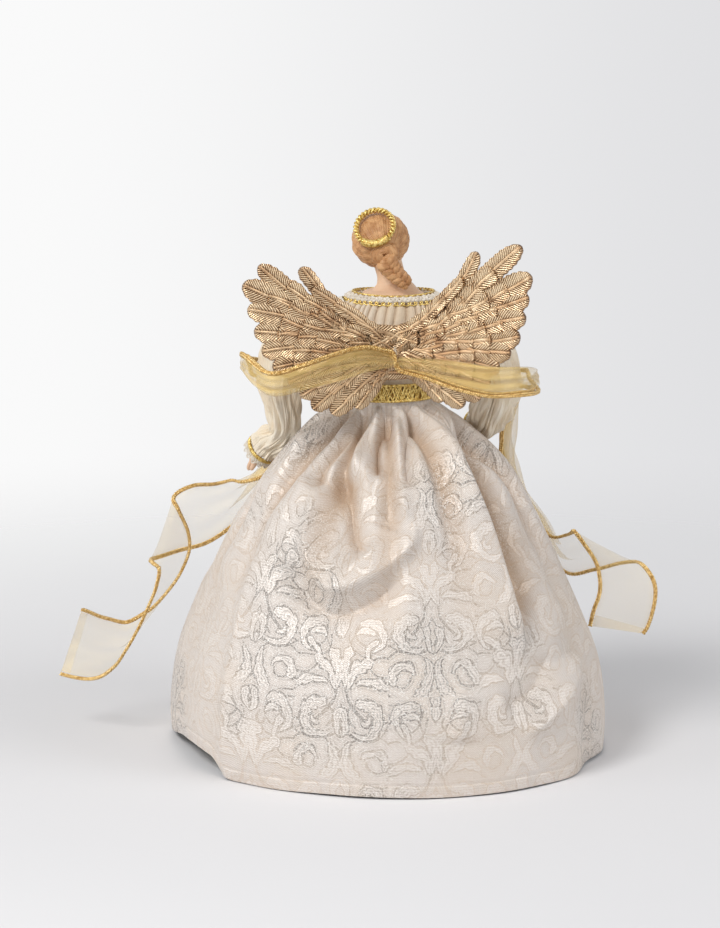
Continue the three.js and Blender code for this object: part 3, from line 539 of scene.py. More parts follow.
# Body
cone_height, torso_height = 170.0, 57.5
cone_base_radius, cone_top_radius, cone_gap = 90.0, 17.5, 1.4
torso_top = cone_height + torso_height
torso_lean = -3.0
torso_sections = [
    (20, 17, 170.3),
    (20, 17, 187.25),
    (22.475, 18.125, 195.875),
    (25.5, 19.5, 205.65),
    (27, 17.5, 216.575),
    (24.3, 15.025, 223.475),
    (18, 12, 227.5),
]


def torso(u, v):
    section = spline(torso_sections, np.asarray(v).reshape(-1)).reshape(*np.shape(v), 3)
    lean = torso_lean * smooth(v, 0.35, 1)
    x = section[..., 0] * cos(TURN * u) + lean
    y = section[..., 1] * sin(TURN * u)
    return join(x, y, section[..., 2])


def off_torso(u, v, distance):
    u, v, distance = np.broadcast_arrays(u, v, distance)
    step = 0.004
    across = torso(u + step, v) - torso(u - step, v)
    along = torso(u, np.clip(v + step, 0, 1)) - torso(u, np.clip(v - step, 0, 1))
    return torso(u, v) + unit(np.cross(across, along)) * distance[..., None]


# Bodice: broad pleats under a fine crimp, both flatter at the waist and the neckline
bodice_gap, bodice_start, bodice_pleats, bodice_crimps = 0.75, 0.02, 12, 20
bodice_round, bodice_length, bodice_thickness = 165.0, 62.0, 0.4
bodice_columns, bodice_rows = 480, 90
u, v = grid_uv(bodice_columns, bodice_rows)
level = mix(bodice_start, 1, v)
fade = smooth(level, 0.2, 0.36) * (1 - 0.75 * smooth(level, 0.8, 0.97))
drift = 0.35 * ripple(9 * u * TURN, 5 * v, 3)
pleat = 0.5 + 0.5 * cos(TURN * bodice_pleats * u + drift)
uneven = 1.5 * drift + 0.5 * ripple(14 * u * TURN, 7 * v, 8)
crimp = abs(cos(TURN * bodice_crimps * u + uneven)) ** 0.7
rise = (0.7 * pleat + 1.3 * crimp - 0.4) * fade + 0.3 * crimp
# Painted shade: the bodice a little darker all over, as under the wings, and darker still in the crimp's
# valleys.
shade = 0.9 + 0.7 * (1 - crimp) * fade
cloth = flat_cloth(bodice_round, bodice_length, bodice_columns, bodice_rows)
bodice = Shape().grid(off_torso(u, level, bodice_gap + rise), True, cloth, shade).make("bodice_cloth", satin)
thicken(dress(bodice, "satin", "bodice"), bodice_thickness)

# Collar: white gimp in crossing waves, with gilt loops along both edges
collar_gap, gimp_waves, gimp_thread = 2.4, 34, 0.72
gimp_levels, gimp_swing, gimp_rise = (0.9, 0.93, 0.96), 0.032, 0.45
collar_loops, loop_points, loop_thread = 46, 18, 0.38
t = np.linspace(0, 1, 721)[:-1]
gimp = []
for phase in (0, pi):
    wave = sin(TURN * gimp_waves * t + phase)
    lift = gimp_rise * cos(2 * TURN * gimp_waves * t + phase)
    level = np.clip(gimp_levels[1] + gimp_swing * wave, 0, 1)
    gimp.append(off_torso(t, level, collar_gap + 0.3 + lift))
for level in gimp_levels:
    gimp.append(off_torso(t, level, collar_gap - 0.25))
threads("collar_gimp", gimp, gimp_thread, lace, "white_lace", "collar_lace")
t = np.linspace(0, 1, collar_loops * loop_points + 1)[:-1]
swing = TURN * collar_loops * t
along = t - 0.42 / collar_loops * sin(swing)
height = 0.525 * (1 - cos(swing))
for edge, level, drop in (("lower", 0.885, -1.9), ("upper", 0.985, 0.3)):
    base, tip = (off_torso(along, level, collar_gap + out) for out in (0.25, 0.9))
    line = mix(base, tip, height[:, None])
    line[:, 2] += drop * height
    threads(f"collar_loops_{edge}", [line], loop_thread, gilt, "gilt_cord", f"collar_cord_{edge}")

# Skirt
skirt_top, flare_top = 185.0, 175.1
skirt_waist, hem_radius, hem_clearance, skirt_thickness = 22.0, 110.0, 0.3, 0.6
skirt_pleats, fine_pleats, waist_crimps = 14, 37, 44
hem_depth, hem_stitches, hem_lift, hem_wave, skirt_skew = 6.0, 230, 9.0, 1.2, 9.0
bell = [
    (0.04, 0.98),
    (0.17, 0.935),
    (0.43, 0.815),
    (0.585, 0.675),
    (0.725, 0.535),
    (0.85, 0.397),
    (0.955, 0.256),
    (0.997, 0.115),
    (1, 0.03),
    (0.995, 0),
]
skirt_profile = [(skirt_waist, z) for z in (skirt_top, 0.5 * (skirt_top + flare_top), flare_top)]
skirt_profile += [(mix(skirt_waist, hem_radius, o), mix(hem_clearance, flare_top, h)) for o, h in bell]

# Folds all round: angle from the back towards -X, half width, depth, and where they start and end
round_folds = [
    (70, 9, -4, 0.3, 1.3),
    (-75, 10, -4, 0.5, 1.3),
    (112, 8, -5, 0.2, 1.3),
    (140, 8, 4, 0.2, 1.2),
    (163, 8, -6, 0.2, 1.3),
    (-160, 9, 4, 0.2, 1.2),
    (-138, 8, -6, 0.2, 1.3),
    (-108, 8, 3, 0.5, 1.2),
    (-104, 16, -9, 0.1, 0.27),
    (115, 14, -5, 0.08, 0.25),
]
# Lower edge of the pouch, which hangs over the rest of the cloth, as (towards -X, height)
pouch_line = [(-34, 147), (-35, 132), (-37, 119), (-35, 106), (-26, 98)]
pouch_line += [(-11, 103), (3, 112), (12, 121), (11, 132)]
# Folds on the back, as lines of (towards -X, height), with depth and the width on either side of the line
back_folds = [
    (pouch_line, 8, 4, 11),
    ([(-23, 152), (-20, 136), (-17, 120), (-11, 112)], -10, 9, 11),
    ([(-5, 175), (-20, 164), (-33, 151), (-38, 140)], -9, 4.5, 4.5),
    ([(4, 174), (-5, 162), (-5, 147)], -10, 5, 4),
    ([(12, 171), (9, 155), (11, 141)], -7, 3.5, 4),
    ([(7, 174), (2, 157), (4, 140), (11, 126)], 5, 4, 4),
    ([(0, 175), (-14, 162), (-15, 146)], 5, 5, 5),
    ([(20, 175), (33, 150), (44, 127), (52, 105), (60, 83), (67, 58)], 9, 14, 4.5),
    ([(30, 172), (46, 144), (56, 122), (64, 97), (72, 66)], -13, 6, 13),
    ([(43, 159), (62, 140), (73, 113), (83, 85), (93, 60)], 4, 8, 8),
    ([(94, 59), (92, 47), (75, 32), (63, 27)], 5, 9, 6),
    ([(80, 62), (72, 48), (56, 40)], -4, 8, 8),
    ([(36, 53), (34, 26)], 3.5, 8, 8),
    ([(-47, 145), (-60, 108), (-70, 70), (-76, 31), (-76, -20)], 7, 5, 26),
    ([(-30, 168), (-54, 145), (-74, 113), (-90, 81)], 4, 8, 8),
    ([(-48, 108), (-42, 96), (-28, 86), (-8, 93), (9, 106)], -6, 8, 5),
    ([(-44, 160), (-60, 132), (-72, 96)], -4, 8, 6),
]


def crease(line, x, z):
    """Signed distance to a smoothed line, positive on the right going down, and the share along it."""
    route = spline(line, np.linspace(0, 1, 40))
    best = np.full(x.shape, 1e9)
    share = np.zeros(x.shape)
    sign = np.ones(x.shape)
    for k, (a, b) in enumerate(zip(route[:-1], route[1:])):
        d = b - a
        t = np.clip(((x - a[0]) * d[0] + (z - a[1]) * d[1]) / (d @ d), 0, 1)
        away = np.hypot(x - a[0] - t * d[0], z - a[1] - t * d[1])
        nearer = away < best
        best = np.where(nearer, away, best)
        share = np.where(nearer, (k + t) / (len(route) - 1), share)
        sign = np.where(nearer, np.where(d[0] * (z - a[1]) - d[1] * (x - a[0]) > 0, 1, -1), sign)
    return best * sign, share


def skirt_surface(columns, rows):
    """Points of the skirt, its plain profile, and the painted shade of each point in the folds' valleys and
    gathers.
    """
    u, v = grid_uv(columns, rows)
    u, v = u - 0.25, v**0.92
    profile = spline(skirt_profile, v.reshape(-1)).reshape(*v.shape, 2)
    radius, z = profile[..., 0], profile[..., 1]
    down = 1 - z / flare_top
    angle = wrapped(360 * u - 90)
    turned = np.radians(angle)
    push = np.zeros_like(radius)
    for middle, width, depth, start, end in round_folds:
        reach = band(down, start - 0.08, start + 0.08, end - 0.08, end + 0.08)
        push += depth * bump(wrapped(angle - middle), 0, width) * reach
    x = radius * sin(turned)
    behind = 1 - smooth(abs(angle), 62, 88)
    for line, depth, left, right in back_folds:
        away, share = crease(line, x, z)
        ends = band(share, -0.02, 0.18, 0.8, 1.02) * behind
        push += depth * np.exp(-((abs(away) / np.where(away > 0, right, left)) ** 1.3)) * ends
        if line is pouch_line:
            sag = 3 * bump(away, 0, 8) * ends
    gathered = band(down, -0.03, 0.05, 0.1, 0.6)
    wander = 0.5 * ripple(5 * turned, 3 * down, 21)
    pleat = cos(TURN * skirt_pleats * u + wander)
    tuck = np.clip(-pleat, 0, 1) ** 1.3 * gathered
    push += 2.0 * pleat * gathered - 4.4 * tuck
    push += 0.8 * cos(TURN * fine_pleats * u + 2 * wander) * band(down, -0.02, 0.05, 0.08, 0.35)
    push += 0.55 * ripple(11 * turned, 9 * down, 5) * smooth(down, 0.1, 0.3)
    push += 0.22 * cos(TURN * waist_crimps * u) * (1 - smooth(down, -0.06, -0.02))
    stitches = (down > 0.94) * bump(z, hem_clearance + hem_depth, 0.7)
    push -= 0.45 * stitches * (0.7 + 0.3 * cos(TURN * hem_stitches * u))
    push *= 0.97 * smooth(down, -0.05, 0.01) + 0.03
    slope = np.gradient(profile[:, 0], axis=0)
    slope = slope / np.maximum(np.hypot(*slope.T), 1e-6)[:, None]
    radius = radius - push * slope[:, 1:]
    z = z + push * slope[:, :1]
    flattening = 3.0 * (1 - smooth(down, 0, 0.3)) + 1.0 * smooth(down, 0.3, 1)
    cone = mix(cone_base_radius, cone_top_radius, np.clip(z / cone_height, 0, 1))
    radius = np.maximum(radius, cone + cone_gap + flattening)
    lift = hem_lift * bump(angle, -62, 26) * (1 - smooth(angle, -52, -42)) * smooth(down, 0.5, 1)
    lift += hem_wave * smooth(down, 0.8, 1) * (0.5 + 0.5 * ripple(6 * turned, 0 * down, 31)).clip(0, 1)
    skew = skirt_skew * smooth(down, 0.3, 1) * cos(TURN * u)
    y = (radius - flattening) * sin(TURN * u) - skew
    # Painted shade: deep fold valleys and the gathers' tucks darken the cloth's colour.
    valley_shade = np.maximum(smooth(-push, 2, 10), 0.9 * tuck)
    return join(radius * cos(TURN * u), y, z + lift - sag), profile, valley_shade


skirt_columns, skirt_rows = 700, 250
skirt_points, skirt_line, valley_shade = skirt_surface(skirt_columns, skirt_rows)
fall = run_along(skirt_line[:, 0])
# The gathers take up cloth towards the waist, so the figure keeps most of its width there
spread = mix(hem_radius, skirt_line[:, 0, 0], 0.6)
around = TURN * (np.linspace(0, 1, skirt_columns + 1) - 0.5)
cloth = join(around[None, :] * spread[:, None], fall[:, None])
skirt = Shape().grid(skirt_points, True, cloth, valley_shade).make("skirt_cloth", brocade)
thicken(dress(skirt, "brocade", "skirt"), skirt_thickness)

# Belt: a net of gilt threads over a darker ground
belt_half_width, belt_half_depth, belt_low, belt_high = 23.4, 20.4, 177.8, 186.0
net_waves, edge_twists, ground_ribs = 15, 70, 40
net_thread, edge_thread, ground_thickness = 0.36, 0.4, 0.5


def belt_line(t, share, out=0.0):
    x = (belt_half_width + out) * cos(TURN * t)
    y = (belt_half_depth + out) * sin(TURN * t)
    return join(x, y, mix(belt_low, belt_high, share))


u, v = grid_uv(160, 6)
ground = belt_line(u, v, 0.25 * cos(TURN * ground_ribs * u) - 0.2)
ground = Shape().grid(ground, True).make("belt_ground", gilt_dark)
thicken(dress(ground, "gilt_cord", "waist_belt"), ground_thickness)
t = np.linspace(0, 1, 1201)[:-1]
net = []
for strand in range(4):
    for sense in (1, -1):
        swing = TURN * net_waves * t * sense + strand * pi / 2 + 0.6 * sin(TURN * 5 * t + strand)
        net.append(belt_line(t, 0.5 + 0.47 * sin(swing), 0.55 + 0.3 * cos(2 * swing + strand)))
threads("belt_net", net, net_thread, gilt, "gilt_cord")
edges = []
for share in (0.02, 0.98):
    for ply in (0, pi):
        spin = TURN * edge_twists * t + ply
        edges.append(belt_line(t, share + 0.04 * cos(spin), 0.6 + 0.35 * sin(spin)))
threads("belt_edges", edges, edge_thread, gilt, "gilt_cord")

# Arms: side, radius at the wrist, and a route from the shoulder
shoulder_z = cone_height + 0.78 * torso_height
arm_routes = {
    "left": (1, 6.5, [(0, 0, 0), (17, 1, -13), (22.5, 0, -31), (21.5, -5, -55), (31.5, -15, -66.5)]),
    "right": (-1, 9.5, [(0, 0, 0), (-17, 1, -13), (-24, -1, -30), (-21, -11, -49), (-18, -36, -58)]),
}
shoulder_half_span = 30.0
sleeve_radius, cuff_radius, arm_flatness = 12.5, 8.0, 0.9
sleeve_round, sleeve_length, sleeve_thickness = 80.0, 85.0, 0.35
sleeve_columns, sleeve_rows = 300, 160
cuff_lays, cuff_lay, cuff_thread = 26, 0.55, 0.62
lace_scallops, lace_bars, lace_start, lace_flare = 7, 56, 3.0, 0.09
scallop_thread, bar_thread, hand_voxel = 0.34, 0.22, 0.4
# Reach of the lace's scalloped lines beyond the sleeve: the least, and how much further a scallop goes
lace_outer, lace_inner = (3.4, 2.9), (3.2, 1.6)


def arm_ring(centre, back, out, radius, angle):
    """Points round an arm, which is a little flatter from front to back."""
    across, depth = radius * cos(angle), arm_flatness * radius * sin(angle)
    return centre + out * across[..., None] + back * depth[..., None]


class Arm:
    """An arm's route, the sleeve's radius along it, and the place and directions of its end."""

    def __init__(self, side, wrist, offsets):
        self.side = side
        self.sizes = [sleeve_radius, sleeve_radius, mix(sleeve_radius, wrist, 0.3), wrist, cuff_radius]
        self.points = np.array(offsets, float) + (side * shoulder_half_span, 1.0, shoulder_z)
        self.centre, self.along, self.back, self.out = (a[0] for a in self.frame(np.array([1.0])))

    def frame(self, t):
        step = 0.001
        along = unit(spline(self.points, t + step) - spline(self.points, t - step))
        back = unit(np.array([0, 1.0, 0]) - along * along[:, 1:2])
        return spline(self.points, t), along, back, self.side * np.cross(along, back)

    def cuff(self, angle, reach, radius):
        """Points round the cuff, square to the arm, at a distance beyond the sleeve's end."""
        ring = arm_ring(self.centre, self.back, self.out, radius, angle)
        return ring + self.along * np.broadcast_to(reach, np.shape(angle))[..., None]


def sleeve_points(arm):
    """Points of a sleeve from its armhole to the cuff, and the painted shade in its crinkles' valleys."""
    u, v = grid_uv(sleeve_columns, sleeve_rows)
    angle = TURN * u
    centre, _, back, out = (a[:, None] for a in arm.frame(v[:, 0]))
    ring_x, ring_y = 5 * cos(angle), 5 * sin(angle)
    drift = ripple(ring_x, ring_y + 4 * v, 40 + arm.side)
    wander = ripple(1.4 * ring_x + 3 * v, 1.4 * ring_y - 5 * v, 50 + arm.side)
    crinkle = 0.6 * cos(15 * angle + 3.2 * wander + 2 * drift) * smooth(v, 0.02, 0.12) * (0.7 + 0.5 * drift)
    crinkle += 0.32 * cos(37 * angle + 3.6 * drift) * (0.7 + 0.4 * wander)
    crinkle += 0.14 * cos(77 * angle + 4.0 * wander)
    bunch = band(v, 0.3, 0.6, 0.94, 1.0)
    crinkle += 0.75 * bunch * cos(TURN * 5 * v + 2.2 * drift + 2 * cos(angle))
    share = smooth(v, 0.05, 0.25) * (1 - 0.7 * smooth(v, 0.82, 0.98))
    fold = 1.1 * cos(5 * angle + 0.9 * drift) * share
    ring = arm_ring(centre, back, out, glide(arm.sizes, v[:, 0])[:, None] + fold + crinkle, angle)
    turned = 42 / 360 * sin(angle)
    hole = off_torso(turned if arm.side > 0 else 0.5 - turned, 0.74 + 0.13 * cos(angle), 3.05)
    # The second value is painted shade where the crinkles dip in.
    return mix(hole, ring, smooth(v, -0.02, 0.24)[..., None]), 0.4 * smooth(-crinkle, 0.0, 1.6)


def hand_shape(arm):
    """Forearm, palm, four bent fingers and a thumb, later run together into one skin."""
    ahead = np.cross(arm.back, arm.out)
    ahead = ahead * np.sign(ahead @ arm.along)
    shape = Shape()

    def limb(places, radii, squash=1.0):
        """A limb with round ends through places (towards the back, outwards, beyond the cuff)."""
        t = np.linspace(0, 1, 24)
        path = spline(arm.centre + np.array(places) @ [arm.back, arm.out, ahead], t)
        shape.grid(rings(path, glide(radii, t) * round_off(t, 16, 0.003), 14, arm.back, squash), True)

    limb([(0, 0, -13), (0, 0, -8), (0, 0, -2), (0, 0, 3)], [4.5, 4.2, 3.6, 3.3])
    limb([(0, 0, 0), (0, 0, 4), (0, 0, 8), (0, -0.3, 11)], [3.4, 4.3, 4.9, 4.2], 0.55)
    for k, (reach, bend) in enumerate([(16.4, 1.6), (18.3, 1.3), (17.8, 1.1), (15.4, 1.6)]):
        across = 2.3 * (k - 1.5)
        root, knuckle = (0.9 * across, -0.2, 7.5), (across, -0.3, 11)
        joint, tip = (1.05 * across, -0.5 - 0.4 * bend, 14), (1.02 * across, -0.6 - bend, reach)
        limb([root, knuckle, joint, tip], [1.5, 1.35, 1.2, 0.95])
    limb([(3.2, -0.4, 3.5), (5.2, -1.2, 6.5), (6.2, -1.9, 9.5), (6.3, -2.4, 12)], [1.8, 1.6, 1.35, 1.0])
    return shape


def scalloped(least, more, angle):
    return least + more * abs(sin(lace_scallops * angle))


angle = np.linspace(0, TURN, 361)[:-1]
for name, (side, wrist, offsets) in arm_routes.items():
    arm = Arm(side, wrist, offsets)
    points, shade = sleeve_points(arm)
    cloth = flat_cloth(sleeve_round, sleeve_length, sleeve_columns, sleeve_rows)
    sleeve = Shape().grid(points, True, cloth, shade).make(f"sleeve_cloth_{name}", satin)
    thicken(dress(sleeve, "satin", f"sleeve_{name}"), sleeve_thickness)
    plies = []
    for ply in (0, pi):
        spin = cuff_lays * angle + ply
        plies.append(arm.cuff(angle, 1.5 + cuff_lay * sin(spin), cuff_radius + cuff_lay * cos(spin)))
    threads(f"cuff_twist_{name}", plies, cuff_thread, gilt, "gilt_cord", f"cuff_cord_{name}")
    edge, spin = scalloped(*lace_outer, angle), 6 * lace_scallops * angle
    scallops = [
        arm.cuff(angle, edge, cuff_radius + lace_flare * edge),
        arm.cuff(angle, scalloped(*lace_inner, angle), cuff_radius + 0.35),
        arm.cuff(angle, 4.0 + 1.0 * sin(spin), cuff_radius + 0.3 + 0.25 * cos(spin)),
        arm.cuff(angle, lace_start, cuff_radius),
    ]
    bars = []
    for spoke in TURN * (np.arange(lace_bars) + 0.5) / lace_bars:
        leg = np.linspace(lace_start, scalloped(*lace_outer, spoke), 5)
        bars.append(arm.cuff(np.full(5, spoke), leg, cuff_radius + lace_flare * leg - 0.1))
    threads(f"cuff_scallops_{name}", scallops, scallop_thread, lace, "white_lace", f"cuff_lace_{name}")
    threads(f"cuff_bars_{name}", bars, bar_thread, lace, "white_lace", closed=False)
    hand = hand_shape(arm).make(f"hand_skin_{name}", skin)
    knit = hand.modifiers.new("one skin", "REMESH")
    knit.mode = "VOXEL"
    knit.voxel_size = hand_voxel * MM
    knit.use_smooth_shade = True
    even = hand.modifiers.new("softened", "SMOOTH")
    even.factor = 0.6
    even.iterations = 5
    dress(hand, "skin", f"hand_{name}")

# Head, in a frame tilted to the angel's left
head_half = np.array([12.8, 13.6, 13.4])
hair_rise, head_rise = 1.2, 27.5
head_turn = turn_about(1, 10)
head_origin = np.array([torso_lean + 1.5, 0, torso_top])
head_centre = np.array([0, -2.0, head_rise])
# Forms of the face: height, degrees from the middle and their spread, level and its spread
face_forms = [
    (0.9, 7, 4, -0.22, 0.06),
    (-1.5, 20, 9, 0.06, 0.13),
    (0.95, 20.5, 7.5, 0.02, 0.085),
    (0.75, 0, 10, -0.43, 0.045),
    (0.8, 0, 8.5, -0.52, 0.05),
    (-0.5, 0, 12, -0.475, 0.018),
    (1.4, 0, 16, -0.76, 0.13),
    (-0.5, 0, 14, -0.62, 0.05),
    (0.8, 33, 13, -0.2, 0.22),
    (-0.7, 50, 10, 0.2, 0.25),
]


def to_head(p):
    return p @ head_turn.T + head_origin


bun_axis = unit(np.array([-0.06, 0.9, -0.43]))
comb_across = unit(np.cross(bun_axis, [1.0, 0, 0]))
comb_up = np.cross(bun_axis, comb_across)


def head_surface(columns, rows):
    """Points of the head, and a painted value: 0 for skin, 1 for hair, 2 for lines and 3 for lips."""
    polar = np.linspace(0.02, pi - 0.02, rows)[:, None]
    angle = np.linspace(0, 360, columns, endpoint=False)[None, :]
    level = -cos(polar) + 0 * angle
    side = wrapped(angle + 90) + 0 * polar
    away = abs(side)
    reach, turned = sin(polar), np.radians(angle)
    direction = join(reach * cos(turned), reach * sin(turned), level)
    facing = 1 - smooth(away, 52 + 10 * bump(level, -0.1, 0.3), 68)
    face = facing * (1 - smooth(level + 0.0002 * away**1.4, 0.44, 0.56))
    features = 2.3 * bump(side, 0, 6.5) * band(level, -0.3, -0.2, -0.2, 0.3)
    features += 0.6 * bump(level, 0.2, 0.09) * (1 - 0.6 * bump(side, 0, 8))
    for height, middle, width, place, spread in face_forms:
        features += height * bump(away, middle, width) * bump(level, place, spread)
    comb = np.arctan2(direction @ comb_across, direction @ comb_up)
    near_bun = np.clip(direction @ bun_axis, -1, 1)
    strand = sin(58 * comb + 1.6 * sin(5 * comb + 2 * near_bun))
    strand = strand + 0.6 * sin(97 * comb + 3 * near_bun)
    locks = sin(17 * comb + 0.9 * sin(3 * comb))
    hair = hair_rise + (0.17 * strand + 0.28 * locks) * smooth(1 - near_bun, 0.03, 0.3)
    hair = hair + 0.35 * bump(face, 0.25, 0.25)
    swell = mix(hair, features, face)
    jaw = 1 - 0.24 * smooth(-level, 0.2, 1) * bump(side, 0, 95)
    x = (head_half[0] * jaw + swell) * direction[..., 0]
    y = (head_half[1] + swell) * direction[..., 1]
    z = (head_half[2] + np.where(level > 0, hair_rise, 0) + 0.3 * (swell - hair_rise) * (1 - face)) * level

    def drawn(middle, half, span, place, bow, width):
        """A bowed line painted at each eye."""
        line = place + bow * (1 - ((away - middle) / span) ** 2)
        return bump(level, line, width) * (abs(away - middle) < half)

    lash = drawn(20.5, 8.5, 9, -0.035, -0.03, 0.016)
    arch = drawn(21, 9, 10, 0.215, 0.03, 0.02)
    upper_lip = bump(side, 0, 9.5) * bump(level, -0.43, 0.04)
    lower_lip = bump(side, 0, 8) * bump(level, -0.52, 0.045)
    tone = 1 - face
    tone = np.where(((lash > 0.5) | (arch > 0.6)) & (face > 0.6), 2.0, tone)
    tone = np.where((np.maximum(upper_lip, lower_lip) > 0.45) & (face > 0.6), 3.0, tone)
    return join(x, y, z) + head_centre, tone


head = Shape()
points, tone = head_surface(280, 200)
head.grid(to_head(points), True, tone=tone)
neck_path = [(torso_lean, 0, z) for z in (0.5, 1.6, 4)] + [(-2.5, 0, 7.5), (-1.5, 0, 12), (1, -0.5, 21)]
neck_radii = [16.0, 15.4, 11.2, 7.8, 6.9, 7.2]
t = np.linspace(0, 1, 40)
neck = spline(neck_path, t) + (0, 0, torso_top)
head.grid(rings(neck, glide(neck_radii, t), 48, (1, 0, 0), 0.86), True)

# Chignon wound at the nape and a plait that falls from it towards -X, each of several strands
hair_strands, chignon_turns, plait_turns = 3, 1.15, 2.1
t = np.linspace(0, 1, 70)
for k in range(hair_strands):
    spin = TURN * (chignon_turns * t + k / hair_strands)
    size = mix(5.4, 1.2, t)
    line = join(-1 + size * cos(spin), 11.4 + 3.6 * t, 22.6 + 0.85 * size * sin(spin))
    radius = mix(2.5, 1.5, t) * round_off(t, 12)
    head.grid(to_head(rings(line, radius, 26, (0, 1, 0), grooves=9, groove=0.09, twist=2.0)), True, tone=1.0)
plait = [(-1, 13.4, 20), (-2.4, 13.6, 16.5), (-4.6, 13.8, 12.6), (-7.4, 13.6, 9), (-10, 12.8, 6)]
t = np.linspace(0, 1, 120)
middle = spline(plait, t)
_, sideways, outward = frames_along(middle, (1, 0, 0))
for k in range(hair_strands):
    spin = TURN * (plait_turns * t + k / hair_strands)[:, None]
    swing = mix(3.2, 1.8, t)[:, None]
    line = middle + sideways * swing * sin(spin) + outward * 0.45 * swing * sin(2 * spin)
    radius = mix(2.9, 1.6, t) * round_off(t, 20)
    head.grid(to_head(rings(line, radius, 24, (0, 1, 0), grooves=8, groove=0.08, twist=3.0)), True, tone=1.0)
dress(head.make("head_casting", casting), "casting", "head")

# Halo: two plies of fine threads laid round a ring, bound with thread over the joint
halo_radius, halo_stand_off = 9.4, 2.6
halo_lays, ply_offset = 15, 0.74
halo_threads, thread_turns, thread_offset, halo_thread = 5, 46, 0.42, 0.4
# The binding's place and span round the ring, in degrees, and its turns
binding_middle, binding_span, binding_turns = 78, 80, 34
binding_radius, binding_thread = 1.72, 0.3
halo_turn = turn_about(1, 20) @ turn_about(0, -51)
halo_seat = sqrt((head_half[2] + hair_rise + halo_stand_off) ** 2 - halo_radius**2)
halo_origin = to_head(head_centre)


def halo_line(angle, out, up):
    r = halo_radius + out
    return join(r * cos(angle), r * sin(angle), halo_seat + up) @ halo_turn.T + halo_origin


angle = np.linspace(0, TURN, 1441)[:-1]
strands = []
for ply in (0, pi):
    lay = halo_lays * angle + ply
    for k in range(halo_threads):
        fine = thread_turns * angle + TURN * k / halo_threads
        out = ply_offset * cos(lay) + thread_offset * cos(fine)
        strands.append(halo_line(angle, out, ply_offset * sin(lay) + thread_offset * sin(fine)))
threads("halo_plies", strands, halo_thread, gilt, "gilt_cord", "halo_cord")
t = np.linspace(0, 1, 1300)
wrap = TURN * binding_turns * t
whip = np.radians(binding_middle + binding_span * (t - 0.5)) + 0.012 * sin(TURN * 5 * t)
binding = halo_line(whip, binding_radius * cos(wrap), binding_radius * sin(wrap))
threads("halo_whipping", [binding], binding_thread, gilt, "gilt_cord", "halo_binding", closed=False)

# Wings: feathers in rows on a flat plan, p out from the spine and q up, then swept back
wing_sweep, wing_bend = radians(30), 8.0
wing_turn = turn_about(2, -5) @ turn_about(1, 4.5)
wing_origin = np.array([-4, 25.2, 207.5])


def wing(p, q, h):
    reach = np.hypot(p, wing_bend)
    lean = tan(wing_sweep) * p / reach
    out = unit(join(-lean, 1.0, 0.0))
    flat = join(cos(wing_sweep) * p, sin(wing_sweep) * (reach - wing_bend), q)
    return (flat + out * np.asarray(h)[..., None]) @ wing_turn.T + wing_origin


# Each feather: root, tip, width, and how far the tip moves on the -X wing
primaries = [
    ((33, 18), (48, 43.5), 7.5, (4, 2)),
    ((22, 5), (70, 47), 10.5, (7.5, 1.5)),
    ((16, 5), (79, 39), 13, (3, -5)),
    ((16, 3), (77.5, 27), 12.5, (2, -3)),
    ((16, 1), (75, 16), 12.5, (2, -1.5)),
    ((16, -1), (72, 6), 12.5, (1, -1)),
    ((14, -3), (67, -3), 12.5, (0, 0)),
    ((12, -4), (60, -11), 12, (0, 0)),
    ((10, -5), (54, -18.5), 11, (0, 0)),
    ((8, -6), (48, -26), 11, (0, 0)),
    ((6, -7), (38, -30), 10.5, (0, 0)),
    ((4, -7), (25, -29), 9, (1, 1)),
    ((2, -7), (13, -17), 8, (0, 0)),
]
# Rows of coverts: how far out they end, their length, and how high they stand
covert_rows = [(0.8, 13.5, 1.5), (0.63, 13.5, 1.8), (0.47, 13, 2.1), (0.32, 12, 2.35), (0.18, 11, 2.6)]
covert_narrow, covert_broad = 6.5, 9.5
# Feathers along the leading edge: root, tip and width
leading_edge = [((9, 4), (33, 24), 7), ((20, 13), (44, 33), 6.5), ((2, 2), (22, 14), 7)]
# Feathers over the spine: root, tip, width, and how high they stand
saddle = [
    ((-14, -15), (14, -13), 8, 1.3),
    ((8, 2), (-9, -15), 9, 1.7),
    ((-8, 2), (10, -15), 9, 1.8),
    ((15, 6), (-12, -11), 9, 2.0),
    ((-15, 6), (13, -10), 9, 2.1),
    ((17, 10), (-15, 1), 8.5, 2.2),
    ((-18, 10), (14, 1), 8.5, 2.3),
    ((13, 9), (-6, 2.5), 7.5, 2.5),
    ((-14, 9.5), (6, 1.5), 7.5, 2.6),
]


